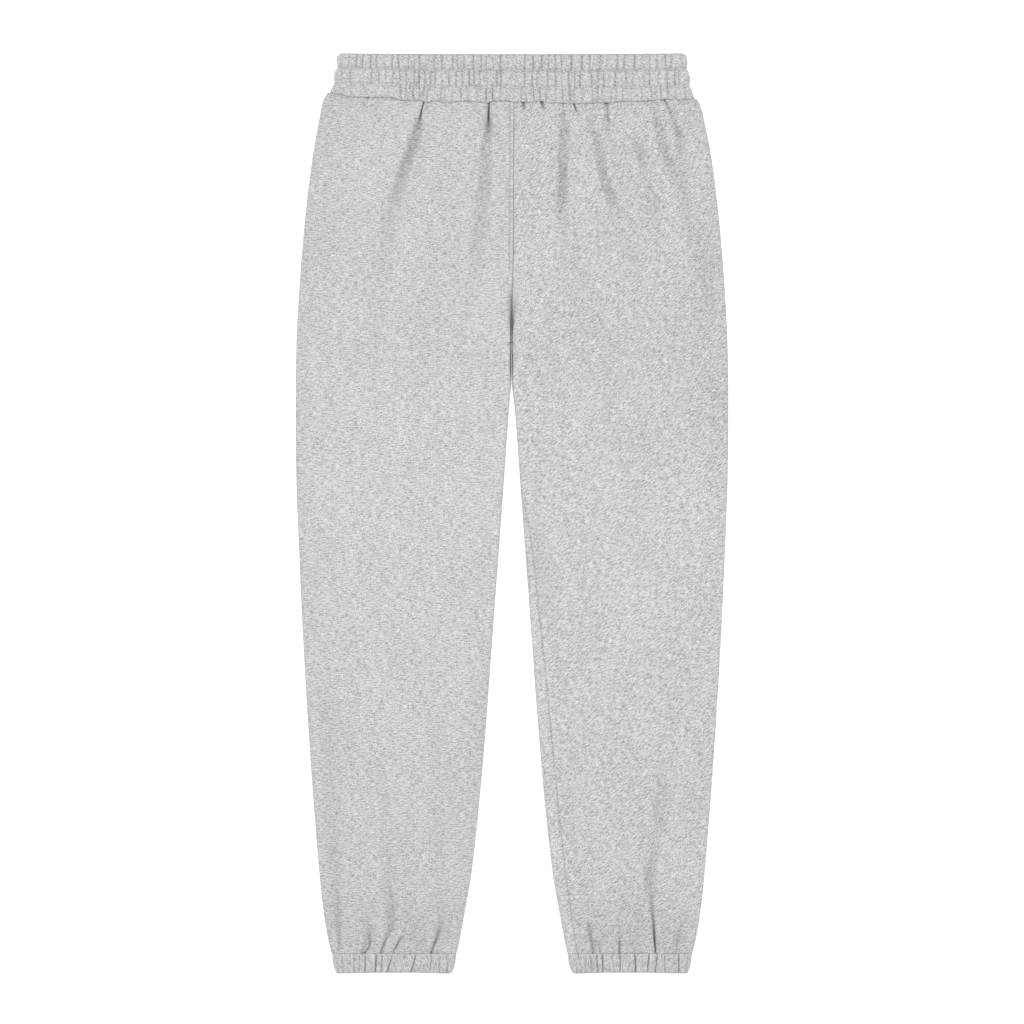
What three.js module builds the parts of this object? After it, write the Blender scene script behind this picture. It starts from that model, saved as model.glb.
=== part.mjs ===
// Jogger sweatpants laid flat on their back: brushed fleece, a shirred elastic waistband
// and an elastic casing at each ankle.
// Millimetres, +Z up. The front faces +Z, the waist lies towards +Y and the wearer's left leg at +X.
// The origin is on the surface the garment lies on, under the middle of its length and width.
import * as THREE from "three";

// Driving sizes
const LENGTH = 1000; // top of the waistband to the ankle edge
const CLOTH = 2.2; // one layer of brushed fleece
const SEAM_GAP = 0.3; // between two pieces sewn together
const CENTRE_GAP = 0.15; // half the gap between the left and the right panels
const FOLD_REACH = 4.2; // how far the turn at a folded side edge runs inwards
const SIDE_SEAM_DROP = 1.2; // the side seam lies this far below the outer fold's tip
const RELIEF_MARGIN = 14; // creases die away over this width beside a folded edge

// Waist and ankle seams
const WAIST_SEAM_Y = 446; // at the centre front
const WAIST_SEAM_LIFT = 8.5; // the seam rises by this much at the side
const WAIST_SEAM_POWER = { left: 5, right: 2.7 }; // how late it rises on each side
const WAIST_SEAM_SAG = { left: 1.1, right: 0.3 }; // it hangs this far down before it rises
const SAG_PLACE = 75;
const SAG_WIDTH = 45;
const WAIST_HALF = 200; // half the garment's width at the waist seam
const SEAM_CURVE_FADE_Y = 370; // below this height the cloth's rows lie straight across
const ANKLE_SEAM_Y = -478.5;

// Crotch: the front seam starts to sink between the legs, and the inseams start
const CROTCH_Y = 183;
const FRONT_SINK_Y = 252;
const BACK_SINK_Y = 212;

// The centre front and centre back stray this far towards the wearer's left
const CENTRE = [
  { y: 447, x: 2.2 },
  { y: 360, x: 1.7 },
  { y: 285, x: 1.4 },
  { y: 235, x: 0.4 },
  { y: 183, x: -0.7 },
  { y: 140, x: -0.6 },
  { y: 105, x: 0 },
];

// Outline of one leg panel pair: the outer fold and the inner fold, from the centre line
const OUTLINE = [
  { y: 456, outer: 199.6, inner: 0.3 },
  { y: 450.5, outer: 203.2, inner: 0.3 },
  { y: 444, outer: 205.8, inner: 0.3 },
  { y: 428, outer: 209, inner: 0.3 },
  { y: 395, outer: 215.3, inner: 0.3 },
  { y: 351, outer: 221.3, inner: 0.3 },
  { y: 308, outer: 225.9, inner: 0.3 },
  { y: 243, outer: 231.1, inner: 0.3 },
  { y: 183, outer: 234.2, inner: 0.3 },
  { y: 139, outer: 235, inner: 0.7 },
  { y: 112, outer: 235, inner: 3.6 },
  { y: 47, outer: 234.6, inner: 8.3 },
  { y: -40, outer: 231.3, inner: 14.6 },
  { y: -127, outer: 227.4, inner: 21.1 },
  { y: -214, outer: 222.4, inner: 27.4 },
  { y: -301, outer: 216.5, inner: 34.7 },
  { y: -388, outer: 209.4, inner: 44 },
  { y: -431, outer: 204.8, inner: 51.3 },
  { y: -464, outer: 199.4, inner: 57.4 },
  { y: -479, outer: 195.8, inner: 60.6 },
];

// Height of the laid cloth above the surface: it puffs up beside the elastic
const LOFT = [
  { y: 456, height: 7.4 },
  { y: 446, height: 7.7 },
  { y: 425, height: 7.8 },
  { y: 390, height: 7.4 },
  { y: 340, height: 7 },
  { y: 260, height: 6.6 },
  { y: 100, height: 6.4 },
  { y: -200, height: 6.2 },
  { y: -380, height: 6.6 },
  { y: -440, height: 7.2 },
  { y: -477, height: 7.2 },
];

// How far the inseam lies from the inner fold's tip, on the front, on each leg
const INSEAM = [
  { y: 183, left: 0, right: 0 },
  { y: 110, left: 0, right: 0 },
  { y: 30, left: 1.5, right: 0.5 },
  { y: 10, left: 4.5, right: 0.8 },
  { y: -40, left: 9.5, right: 1 },
  { y: -127, left: 12.5, right: 1 },
  { y: -214, left: 15, right: 1 },
  { y: -388, left: 16, right: 1 },
  { y: -477, left: 13, right: 1 },
];

// The largest creases, each a soft trough that runs from the waist seam to the ankle and nearly
// dies away between. x is its distance from the centre line, deep its depth, wide its half width.
const LEFT_CREASES = {
  centre: [
    { y: 448, x: 55.5, deep: 1.3, wide: 4.4 },
    { y: 410, x: 55.5, deep: 1.7, wide: 5 },
    { y: 350, x: 57, deep: 1.4, wide: 6 },
    { y: 290, x: 64, deep: 0.6, wide: 8 },
    { y: 183, x: 72, deep: 0.2, wide: 9 },
    { y: -300, x: 82, deep: 0.2, wide: 8 },
    { y: -410, x: 81, deep: 0.4, wide: 6 },
    { y: -441, x: 83, deep: 1.2, wide: 4.6 },
    { y: -464, x: 87, deep: 1.8, wide: 4 },
    { y: -479, x: 89, deep: 1.6, wide: 3.8 },
  ],
  slanting: [
    { y: 448, x: 86, deep: 0.3, wide: 4.2 },
    { y: 413, x: 90, deep: 0.9, wide: 4.3 },
    { y: 380, x: 97, deep: 1.3, wide: 5 },
    { y: 341, x: 109, deep: 1.2, wide: 6.6 },
    { y: 314, x: 121, deep: 1, wide: 7.6 },
    { y: 275, x: 134, deep: 0.6, wide: 8.6 },
    { y: 183, x: 140, deep: 0.2, wide: 9 },
    { y: -300, x: 124, deep: 0.1, wide: 8 },
    { y: -420, x: 120, deep: 0.7, wide: 5.6 },
    { y: -450, x: 118.5, deep: 1.2, wide: 4.4 },
    { y: -479, x: 117.5, deep: 1.5, wide: 3.8 },
  ],
  middle: [
    { y: 448, x: 102.5, deep: 1.8, wide: 4.2 },
    { y: 425, x: 104, deep: 1.3, wide: 4 },
    { y: 404, x: 109, deep: 0.4, wide: 4 },
    { y: 384, x: 118, deep: 0.2, wide: 5 },
    { y: 356, x: 134, deep: 0.3, wide: 6 },
    { y: 325, x: 149, deep: 0.6, wide: 8 },
    { y: 250, x: 165, deep: 0.3, wide: 9 },
    { y: 100, x: 172, deep: 0.2, wide: 9 },
    { y: -242, x: 169.5, deep: 0.3, wide: 9 },
    { y: -346, x: 159, deep: 0.8, wide: 8 },
    { y: -395, x: 150.5, deep: 1.3, wide: 6 },
    { y: -437, x: 153.5, deep: 2.1, wide: 4.8 },
    { y: -479, x: 156, deep: 2.6, wide: 4 },
  ],
  side: [
    { y: 450, x: 165, deep: 1.7, wide: 4.2 },
    { y: 435, x: 173, deep: 1.4, wide: 4.4 },
    { y: 410, x: 181.5, deep: 0.9, wide: 5 },
    { y: 359, x: 187, deep: 0.8, wide: 7 },
    { y: 330, x: 195, deep: 0.5, wide: 8 },
    { y: 183, x: 204, deep: 0.2, wide: 8 },
    { y: -300, x: 196, deep: 0.1, wide: 6 },
    { y: -430, x: 188, deep: 0.5, wide: 4.4 },
    { y: -464, x: 180.5, deep: 1.1, wide: 4 },
    { y: -479, x: 179, deep: 1, wide: 3.8 },
  ],
};
const RIGHT_CREASES = {
  centre: [
    { y: 448, x: 25, deep: 2.9, wide: 4.2 },
    { y: 415, x: 26, deep: 2.6, wide: 4.6 },
    { y: 384, x: 29.5, deep: 2, wide: 5.4 },
    { y: 340, x: 33, deep: 1.3, wide: 7 },
    { y: 278, x: 41, deep: 0.5, wide: 8 },
    { y: 183, x: 48, deep: 0.2, wide: 9 },
    { y: -260, x: 82, deep: 0.2, wide: 8 },
    { y: -380, x: 81.5, deep: 0.5, wide: 7 },
    { y: -421, x: 79, deep: 0.9, wide: 5.4 },
    { y: -446, x: 77.5, deep: 1.6, wide: 4.4 },
    { y: -479, x: 88, deep: 1.9, wide: 3.8 },
  ],
  slanting: [
    { y: 448, x: 60, deep: 0.1, wide: 5 },
    { y: 300, x: 84, deep: 0.1, wide: 9 },
    { y: 100, x: 96, deep: 0.2, wide: 9 },
    { y: -300, x: 109, deep: 0.1, wide: 7 },
    { y: -432, x: 111.5, deep: 0.6, wide: 4.4 },
    { y: -453, x: 115.5, deep: 1.3, wide: 3.8 },
    { y: -467, x: 123.5, deep: 1.8, wide: 3.6 },
    { y: -479, x: 128.5, deep: 1.1, wide: 3.4 },
  ],
  middle: [
    { y: 449, x: 95.5, deep: 3.1, wide: 4.2 },
    { y: 416, x: 107.5, deep: 2.8, wide: 4.8 },
    { y: 362, x: 126.5, deep: 1.9, wide: 6.4 },
    { y: 318, x: 137, deep: 1.2, wide: 8 },
    { y: 242, x: 145, deep: 0.5, wide: 10 },
    { y: 120, x: 148, deep: 0.2, wide: 10 },
    { y: -300, x: 138, deep: 0.2, wide: 8 },
    { y: -400, x: 134.5, deep: 0.8, wide: 6 },
    { y: -433, x: 130.5, deep: 1.6, wide: 4.8 },
    { y: -452, x: 132, deep: 2, wide: 4.2 },
    { y: -467, x: 139, deep: 2.2, wide: 3.8 },
    { y: -479, x: 142.5, deep: 2.2, wide: 3.4 },
  ],
  side: [
    { y: 451, x: 154.5, deep: 1, wide: 4.2 },
    { y: 438, x: 162, deep: 1, wide: 4.6 },
    { y: 418, x: 168, deep: 0.8, wide: 5.4 },
    { y: 380, x: 178, deep: 0.4, wide: 7 },
    { y: 300, x: 194, deep: 0.2, wide: 8 },
    { y: 183, x: 201, deep: 0.2, wide: 8 },
    { y: -300, x: 176, deep: 0.2, wide: 7 },
    { y: -430, x: 159.5, deep: 0.7, wide: 4.8 },
    { y: -464, x: 156.5, deep: 1.6, wide: 3.8 },
    { y: -479, x: 161.5, deep: 1.5, wide: 3.6 },
  ],
};
const RIDGE_SHARE = 0.32; // the cloth rises beside a trough by this share of its depth
const RIDGE_PLACE = 1.9; // the ridge stands this many half widths from the trough's middle
const CREASE_COLUMNS = [1.7, 0.75, 0, -0.75, -1.7]; // columns beside a crease, in its half widths

// Rows of points down the panels, closest where the cloth is creased
const PANEL_ROWS = [
  { from: WAIST_SEAM_Y - SEAM_GAP / 2, to: 404, steps: 4 },
  { from: 404, to: 262, steps: 5 },
  { from: 262, to: CROTCH_Y, steps: 4 },
  { from: CROTCH_Y, to: 30, steps: 3 },
  { from: 30, to: -40, steps: 2 },
  { from: -40, to: -300, steps: 3 },
  { from: -300, to: -400, steps: 2 },
  { from: -400, to: ANKLE_SEAM_Y + SEAM_GAP / 2, steps: 6 },
];
const OUTER_TURN_STEPS = 3;
const INNER_TURN_STEPS = 3;
const BACK_STEPS = { innerTurn: 6, across: 2, outerTurn: 2 };
const SEAM_BAND = 6; // least width of the columns beside a seam

// Waistband: one strip folded over the elastic, with two rows of stitching that part it into three tubes
const WAISTBAND = {
  height: 9.8,
  turn: 6,
  top: LENGTH / 2,
  gathers: 50,
  valley: 1.4, // depth between two gathers
  wander: 0.28, // how uneven the gathers' widths are
  stagger: 2.4, // the gathers of one tube stand this far beside those of the next
  lean: 1.6, // a gather slants by up to this much
  backColumns: 8,
  turnColumns: 4,
};
// Its section from the waist seam over the top to the inside. rise is the height from the seam
// to the top as a share, depth the distance in from the outer face, half the garment's half width
// before that depth, gather the share of the valley and tube the number of the elastic's tube.
const WAISTBAND_SECTION = [
  { rise: 0, depth: 0.9, half: 199.1, gather: 0.5, tube: 0 },
  { rise: 0.11, depth: 0.1, half: 196.7, gather: 1, tube: 0 },
  { rise: 0.2, depth: 0.3, half: 195, gather: 1, tube: 0 },
  { rise: 0.28, depth: 1.3, half: 193.3, gather: 0.3, tube: 0.5 },
  { rise: 0.4, depth: 0, half: 193.2, gather: 1, tube: 1 },
  { rise: 0.53, depth: 0.1, half: 192.4, gather: 1, tube: 1 },
  { rise: 0.62, depth: 1.3, half: 191.1, gather: 0.3, tube: 1.5 },
  { rise: 0.74, depth: 0, half: 191.1, gather: 1, tube: 2 },
  { rise: 0.92, depth: 0.3, half: 191, gather: 1, tube: 2 },
  { rise: 1, depth: 1.6, half: 191.3, gather: 0.3, tube: 2 },
  { rise: 0.96, depth: 3, half: 191.1, gather: 0, tube: 2 },
  { rise: 0, depth: 3, half: 199.1, gather: 0, tube: 0 },
];

// Ankle casings: the leg's end turned up over a narrow elastic
const CASING = {
  height: 8.8,
  turn: 5,
  bottom: -LENGTH / 2,
  valley: 1.5,
  stagger: 0,
  backColumns: 5,
  turnColumns: 3,
};
const CASING_SECTION = [
  { rise: 1, depth: 0.9, outer: 196.3, inner: 59.8, gather: 0.5, tube: 0 },
  { rise: 0.8, depth: 0.1, outer: 195.4, inner: 60.8, gather: 1, tube: 0 },
  { rise: 0.4, depth: 0, outer: 194.4, inner: 62, gather: 1, tube: 0 },
  { rise: 0.14, depth: 0.4, outer: 191.9, inner: 64.8, gather: 1, tube: 0 },
  { rise: 0, depth: 1.6, outer: 190, inner: 66.2, gather: 0.3, tube: 0 },
  { rise: 0.08, depth: 3, outer: 191.9, inner: 64.8, gather: 0, tube: 0 },
  { rise: 1, depth: 3, outer: 196.3, inner: 59.8, gather: 0, tube: 0 },
];

// Pleats across the front of each casing, from the outer side inwards: the distance from the centre
// line at the seam and at the foot, and the depth as a share of the casing's valley
const LEFT_PLEATS = [
  { seam: 190.9, foot: 190.3, deep: 0.35 },
  { seam: 181, foot: 180.8, deep: 1 },
  { seam: 174, foot: 173.5, deep: 0.4 },
  { seam: 165.4, foot: 166.2, deep: 0.7 },
  { seam: 157.7, foot: 155.6, deep: 1 },
  { seam: 149, foot: 146.4, deep: 0.8 },
  { seam: 133.3, foot: 134.3, deep: 1 },
  { seam: 117.3, foot: 117.4, deep: 0.9 },
  { seam: 108.5, foot: 111.5, deep: 0.4 },
  { seam: 98, foot: 98.8, deep: 0.9 },
  { seam: 91.8, foot: 93.6, deep: 0.7 },
  { seam: 84.8, foot: 87.5, deep: 0.6 },
  { seam: 79.4, foot: 81, deep: 0.3 },
  { seam: 71.8, foot: 76.1, deep: 0.5 },
];
const RIGHT_PLEATS = [
  { seam: 184.3, foot: 183.8, deep: 0.35 },
  { seam: 171.8, foot: 171.3, deep: 0.45 },
  { seam: 165.3, foot: 165.9, deep: 0.6 },
  { seam: 159.3, foot: 159.4, deep: 0.9 },
  { seam: 146.8, foot: 148.5, deep: 1 },
  { seam: 140.8, foot: 142, deep: 0.6 },
  { seam: 129.4, foot: 136, deep: 0.9 },
  { seam: 115.3, foot: 119.5, deep: 0.3 },
  { seam: 103.9, foot: 109.8, deep: 0.95 },
  { seam: 94.6, foot: 96.3, deep: 0.35 },
  { seam: 87, foot: 89.2, deep: 0.5 },
  { seam: 78.3, foot: 78.9, deep: 0.35 },
  { seam: 70.2, foot: 70.2, deep: 0.35 },
];

// The waistband's gathers follow fixed uneven rhythms, a step of so many radians from one to the next
const RHYTHM = { place: 2.4, depth: 5.1, lean: 1.7, tube: 2.3 };
const SHALLOWEST = 0.44; // share of the valley that the shallowest gather has
const CREST = { start: 0.3, end: 0.7, valley: 0.12 }; // between two valleys, as shares

const FLEECE = { color: 0xc9c9cd, roughness: 0.95, metalness: 0 };

const smooth = (t) => {
  const s = Math.min(1, Math.max(0, t));
  return s * s * (3 - 2 * s);
};
const lerp = (a, b, t) => a + (b - a) * t;

// A column of a table at height y, as a smooth curve through its rows, which run downwards
function sample(table, column, y) {
  const last = table.length - 1;
  if (y >= table[0].y) return table[0][column];
  if (y <= table[last].y) return table[last][column];
  let i = 0;
  while (y < table[i + 1].y) i++;
  const slope = (k) => {
    const a = table[Math.max(0, k - 1)];
    const b = table[Math.min(last, k + 1)];
    return (b[column] - a[column]) / (b.y - a.y);
  };
  const span = table[i + 1].y - table[i].y;
  const t = (y - table[i].y) / span;
  const h = t * t * (3 - 2 * t);
  return (
    lerp(table[i][column], table[i + 1][column], h) +
    span * (t * (1 - t) ** 2 * slope(i) - t * t * (1 - t) * slope(i + 1))
  );
}

// The height that one leg's creases add at a point of its front
function relief(creases, x, y) {
  let sum = 0;
  for (const line of Object.values(creases)) {
    const q = Math.abs(x - sample(line, "x", y)) / sample(line, "wide", y);
    const shape = RIDGE_SHARE * Math.exp(-((q - RIDGE_PLACE) ** 2)) - Math.exp(-q * q);
    sum += sample(line, "deep", y) * shape;
  }
  return sum;
}

// How far the waist seam rises at x: in a curve on the front, in a straight line on the back
function seamLift(x, onFront) {
  const share = Math.min(1, Math.abs(x) / WAIST_HALF);
  if (!onFront) return WAIST_SEAM_LIFT * share;
  const side = x > 0 ? "left" : "right";
  const sag = WAIST_SEAM_SAG[side] * Math.exp(-(((Math.abs(x) - SAG_PLACE) / SAG_WIDTH) ** 2));
  return WAIST_SEAM_LIFT * share ** WAIST_SEAM_POWER[side] - sag * (1 - share);
}

// The cloth's rows follow the waist seam's rise beside it, and lie straight across lower down
const nearWaistSeam = (y) => smooth((y - SEAM_CURVE_FADE_Y) / (WAIST_SEAM_Y - SEAM_CURVE_FADE_Y));

// The closed outline of one leg's section at height y: a flattened tube lying on the surface.
// It is walked from the outer fold's tip over the top to the inner fold's tip and back underneath.
function section(y, inner) {
  const outer = sample(OUTLINE, "outer", y + WAIST_SEAM_LIFT * nearWaistSeam(y));
  const half = sample(LOFT, "height", y) / 2;
  const turn = (Math.PI / 2) * Math.sqrt((FOLD_REACH ** 2 + half ** 2) / 2);
  const across = outer - inner - 2 * FOLD_REACH;
  const tip = 2 * turn + across; // distance walked to the inner fold's tip
  const around = 2 * tip;
  const arc = (centre, angle) => {
    const nx = Math.cos(angle) / FOLD_REACH;
    const nz = Math.sin(angle) / half;
    const n = Math.hypot(nx, nz);
    return {
      x: centre + FOLD_REACH * Math.cos(angle),
      z: half + half * Math.sin(angle),
      nx: nx / n,
      nz: nz / n,
    };
  };
  const at = (walked) => {
    const w = ((walked % around) + around) % around;
    const quarter = (part) => ((Math.PI / 2) * part) / turn;
    if (w <= turn) return arc(outer - FOLD_REACH, quarter(w));
    if (w < turn + across) return { x: outer - FOLD_REACH - (w - turn), z: 2 * half, nx: 0, nz: 1 };
    if (w <= tip + turn) return arc(inner + FOLD_REACH, Math.PI / 2 + quarter(w - turn - across));
    if (w < around - turn) return { x: inner + FOLD_REACH + (w - tip - turn), z: 0, nx: 0, nz: -1 };
    return arc(outer - FOLD_REACH, quarter(w - around));
  };
  return { outer, inner, turn, tip, around, at };
}

// The outer and inner points of a panel at one place on a section
function clothPoints(leg, y, place, top) {
  const lift = seamLift(leg.side * place.x, place.nz > 0) * nearWaistSeam(y);
  const fromEdge = Math.min(place.x - top.inner, top.outer - place.x) - FOLD_REACH / 2;
  const rise = place.nz > 0 ? relief(leg.creases, place.x, y) * smooth(fromEdge / RELIEF_MARGIN) : 0;
  const point = (depth) => [
    leg.side * (place.x - depth * place.nx),
    y + lift,
    place.z - depth * place.nz + rise,
  ];
  return { outer: point(0), inner: point(CLOTH) };
}

// Evenly spaced distances from one knot to the next, without the last
const stepsBetween = (from, to, count) => Array.from({ length: count }, (_, j) => lerp(from, to, j / count));

function panelRows() {
  const rows = PANEL_ROWS.flatMap((zone) => stepsBetween(zone.from, zone.to, zone.steps));
  return [...rows, PANEL_ROWS[PANEL_ROWS.length - 1].to];
}

// Above the crotch a panel stops at the centre line. roll is 1 there and falls to 0 at the crotch,
// as its edge sinks from the open face to between the legs.
function innerFold(leg, y, sinkY) {
  const roll = smooth((y - CROTCH_Y) / (sinkY - CROTCH_Y));
  const shift = FOLD_REACH * (1 - Math.cos((roll * Math.PI) / 2));
  const inner = y > CROTCH_Y ? CENTRE_GAP - shift : sample(OUTLINE, "inner", y);
  return { roll, inner: inner + leg.side * sample(CENTRE, "x", y) };
}

// The columns that follow the creases down a front panel, as distances walked on its section
function creaseColumns(leg, y, s) {
  const lines = [leg.creases.side, leg.creases.middle, leg.creases.slanting, leg.creases.centre];
  const places = [];
  for (const line of lines) {
    const middle = sample(line, "x", y);
    const wide = sample(line, "wide", y);
    const first = middle + CREASE_COLUMNS[0] * wide;
    if (places.length > 0) places.push((places[places.length - 1] + first) / 2);
    places.push(...CREASE_COLUMNS.map((share) => middle + share * wide));
  }
  return places.map((x) => s.turn + s.outer - FOLD_REACH - x);
}

function frontPanel(leg) {
  const outer = [];
  const inner = [];
  for (const y of panelRows()) {
    const fold = innerFold(leg, y, FRONT_SINK_Y);
    const s = section(y, fold.inner);
    const seam = y > CROTCH_Y ? s.turn * fold.roll : sample(INSEAM, leg.name, y);
    const end = s.tip - seam - SEAM_GAP / 2;
    const turnStart = Math.min(s.tip - s.turn, end - SEAM_BAND);
    const creased = creaseColumns(leg, y, s);
    const last = creased[creased.length - 1];
    const walked = [
      ...stepsBetween(-SIDE_SEAM_DROP, s.turn, OUTER_TURN_STEPS),
      s.turn,
      ...creased,
      lerp(last, turnStart, 0.5),
      ...stepsBetween(turnStart, end, INNER_TURN_STEPS),
      end,
    ];
    const row = walked.map((w) => clothPoints(leg, y, s.at(w), s));
    outer.push(row.map((p) => p.outer));
    inner.push(row.map((p) => p.inner));
  }
  return wallBetween(outer, inner);
}

function backPanel(leg) {
  const outer = [];
  const inner = [];
  for (const y of panelRows()) {
    const fold = innerFold(leg, y, BACK_SINK_Y);
    const s = section(y, fold.inner);
    const seam = y > CROTCH_Y ? -s.turn * fold.roll : sample(INSEAM, leg.name, y);
    const start = s.tip - seam + SEAM_GAP / 2;
    const flatStart = Math.max(s.tip + s.turn, start + SEAM_BAND);
    const flatEnd = s.around - s.turn;
    const end = s.around - SIDE_SEAM_DROP - SEAM_GAP;
    const walked = [
      ...stepsBetween(start, flatStart, BACK_STEPS.innerTurn),
      ...stepsBetween(flatStart, flatEnd, BACK_STEPS.across),
      ...stepsBetween(flatEnd, end, BACK_STEPS.outerTurn),
      end,
    ];
    const row = walked.map((w) => clothPoints(leg, y, s.at(w), s));
    outer.push(row.map((p) => p.outer));
    inner.push(row.map((p) => p.inner));
  }
  return wallBetween(outer, inner);
}

// Where the waistband's gathers lie across its front: a valley and two crest columns for each
function waistbandGathers() {
  const { gathers, wander, lean } = WAISTBAND;
  const columns = [];
  const place = (i) => {
    const uneven = wander * Math.sin(RHYTHM.place * i) * Math.sin((Math.PI * i) / gathers);
    return (i + uneven) / gathers;
  };
  const add = (i, part, valley) => {
    const number = i + part;
    const slant = lean * Math.sin(RHYTHM.lean * number);
    columns.push({ number, share: lerp(place(i), place(i + 1), part), valley, slant });
  };
  for (let i = 0; i < gathers; i++) {
    add(i, 0, 1);
    add(i, CREST.start, CREST.valley);
    add(i, CREST.end, CREST.valley);
  }
  return columns;
}

// The depth of a waistband gather in one tube, as a share of the valley
function waistbandDepth(gather, tube) {
  const wave = Math.sin(RHYTHM.depth * gather.number + RHYTHM.tube * tube);
  return gather.valley * lerp(SHALLOWEST, 1, (1 + wave) / 2);
}

// Where a casing's pleats lie across its front
function casingPleats(pleats) {
  const { outer, inner } = CASING_SECTION[0];
  const high = outer - CASING.turn;
  const low = inner + CASING.turn;
  const columns = [{ share: 0, valley: CREST.valley, slant: 0 }];
  const column = (seam, foot, valley) => {
    const share = (high - (seam + foot) / 2) / (high - low);
    columns.push({ share, valley, slant: foot - seam });
  };
  pleats.forEach((pleat, i) => {
    column(pleat.seam, pleat.foot, pleat.deep);
    const next = pleats[i + 1];
    if (!next) return;
    for (const part of [CREST.start, CREST.end]) {
      column(lerp(pleat.seam, next.seam, part), lerp(pleat.foot, next.foot, part), CREST.valley);
    }
  });
  return columns;
}

const PLAIN = { share: 0, valley: 0, slant: 0, number: 0 };

// A flattened ring of elastic casing: its wall's section carried round the loop of its columns.
// depthOf gives a gather's depth in a tube, rowY the height of a section row at x, and reach the
// two sides of the loop there.
function casing(size, rows, side, { gathers, depthOf, rowY, reach }) {
  const half = size.height / 2;
  const grid = [];
  const ring = (place, gather) =>
    rows.map((row) => {
      const { low, high } = reach(row);
      const p = place((high - low) / 2 - size.turn);
      const depth = row.depth + size.valley * row.gather * depthOf(gather, row.tube);
      const aside = gather.slant * (row.rise - 0.5) + size.stagger * row.tube;
      const x = (low + high) / 2 + p.x - depth * p.nx - aside * Math.sin(Math.PI * gather.share);
      return [side * x, rowY(row, x, p.nz > 0), half + p.z - depth * p.nz];
    });
  for (const g of gathers) {
    grid.push(ring((spread) => ({ x: lerp(spread, -spread, g.share), z: half, nx: 0, nz: 1 }), g));
  }
  const turn = (direction) => {
    for (let k = 0; k <= size.turnColumns; k++) {
      const angle = (Math.PI / 2) * (1 - (2 * k) / size.turnColumns);
      const nx = direction * Math.cos(angle);
      const nz = -direction * Math.sin(angle);
      grid.push(ring((spread) => ({ x: direction * spread + size.turn * nx, z: half * nz, nx, nz }), PLAIN));
    }
  };
  turn(-1);
  for (let k = 1; k < size.backColumns; k++) {
    const share = k / size.backColumns;
    grid.push(ring((spread) => ({ x: lerp(-spread, spread, share), z: -half, nx: 0, nz: -1 }), PLAIN));
  }
  turn(1);
  grid.pop(); // the last place of the second turn is the first gather's
  return ringSolid(grid);
}

function waistband() {
  const rowY = (row, x, onFront) => {
    const seam = WAIST_SEAM_Y + seamLift(x, onFront) + SEAM_GAP / 2;
    return lerp(seam, WAISTBAND.top, row.rise);
  };
  const reach = (row) => ({ low: -row.half, high: row.half });
  return casing(WAISTBAND, WAISTBAND_SECTION, 1, {
    gathers: waistbandGathers(),
    depthOf: waistbandDepth,
    rowY,
    reach,
  });
}

function ankleCasing(leg) {
  return casing(CASING, CASING_SECTION, leg.side, {
    gathers: casingPleats(leg.pleats),
    depthOf: (gather) => gather.valley,
    rowY: (row) => lerp(CASING.bottom, ANKLE_SEAM_Y - SEAM_GAP / 2, row.rise),
    reach: (row) => ({ low: row.inner, high: row.outer }),
  });
}

// A closed solid from points and triangles, turned so that its faces point outwards
function solid(points, faces) {
  let volume = 0;
  const [a, b, c] = [new THREE.Vector3(), new THREE.Vector3(), new THREE.Vector3()];
  for (let i = 0; i < faces.length; i += 3) {
    a.fromArray(points[faces[i]]);
    b.fromArray(points[faces[i + 1]]);
    c.fromArray(points[faces[i + 2]]);
    volume += a.dot(b.cross(c));
  }
  if (volume < 0) faces.reverse();
  const geometry = new THREE.BufferGeometry();
  geometry.setAttribute("position", new THREE.Float32BufferAttribute(points.flat(), 3));
  geometry.setIndex(faces);
  geometry.computeVertexNormals();
  return geometry;
}

// A sheet of cloth: an outer and an inner grid of points, joined round their rims
function wallBetween(outer, inner) {
  const rows = outer.length;
  const columns = outer[0].length;
  const faces = [];
  const quad = (p, q, r, s) => faces.push(p, q, r, p, r, s);
  const out = (i, j) => i * columns + j;
  const into = (i, j) => rows * columns + i * columns + j;
  for (let i = 0; i < rows - 1; i++) {
    for (let j = 0; j < columns - 1; j++) {
      quad(out(i, j), out(i + 1, j), out(i + 1, j + 1), out(i, j + 1));
      quad(into(i, j), into(i, j + 1), into(i + 1, j + 1), into(i + 1, j));
    }
    quad(out(i, 0), into(i, 0), into(i + 1, 0), out(i + 1, 0));
    quad(out(i, columns - 1), out(i + 1, columns - 1), into(i + 1, columns - 1), into(i, columns - 1));
  }
  for (let j = 0; j < columns - 1; j++) {
    quad(out(0, j), out(0, j + 1), into(0, j + 1), into(0, j));
    quad(out(rows - 1, j), into(rows - 1, j), into(rows - 1, j + 1), out(rows - 1, j + 1));
  }
  return solid([...outer.flat(), ...inner.flat()], faces);
}

// A ring from a grid of points that closes both round the loop and round the wall's section
function ringSolid(grid) {
  const loop = grid.length;
  const round = grid[0].length;
  const faces = [];
  const at = (i, j) => (i % loop) * round + (j % round);
  for (let i = 0; i < loop; i++) {
    for (let j = 0; j < round; j++) {
      faces.push(at(i, j), at(i + 1, j), at(i + 1, j + 1));
      faces.push(at(i, j), at(i + 1, j + 1), at(i, j + 1));
    }
  }
  return solid(grid.flat(), faces);
}

function piece(name, geometry) {
  const mesh = new THREE.Mesh(geometry, new THREE.MeshStandardMaterial(FLEECE));
  mesh.name = name;
  return mesh;
}

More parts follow.
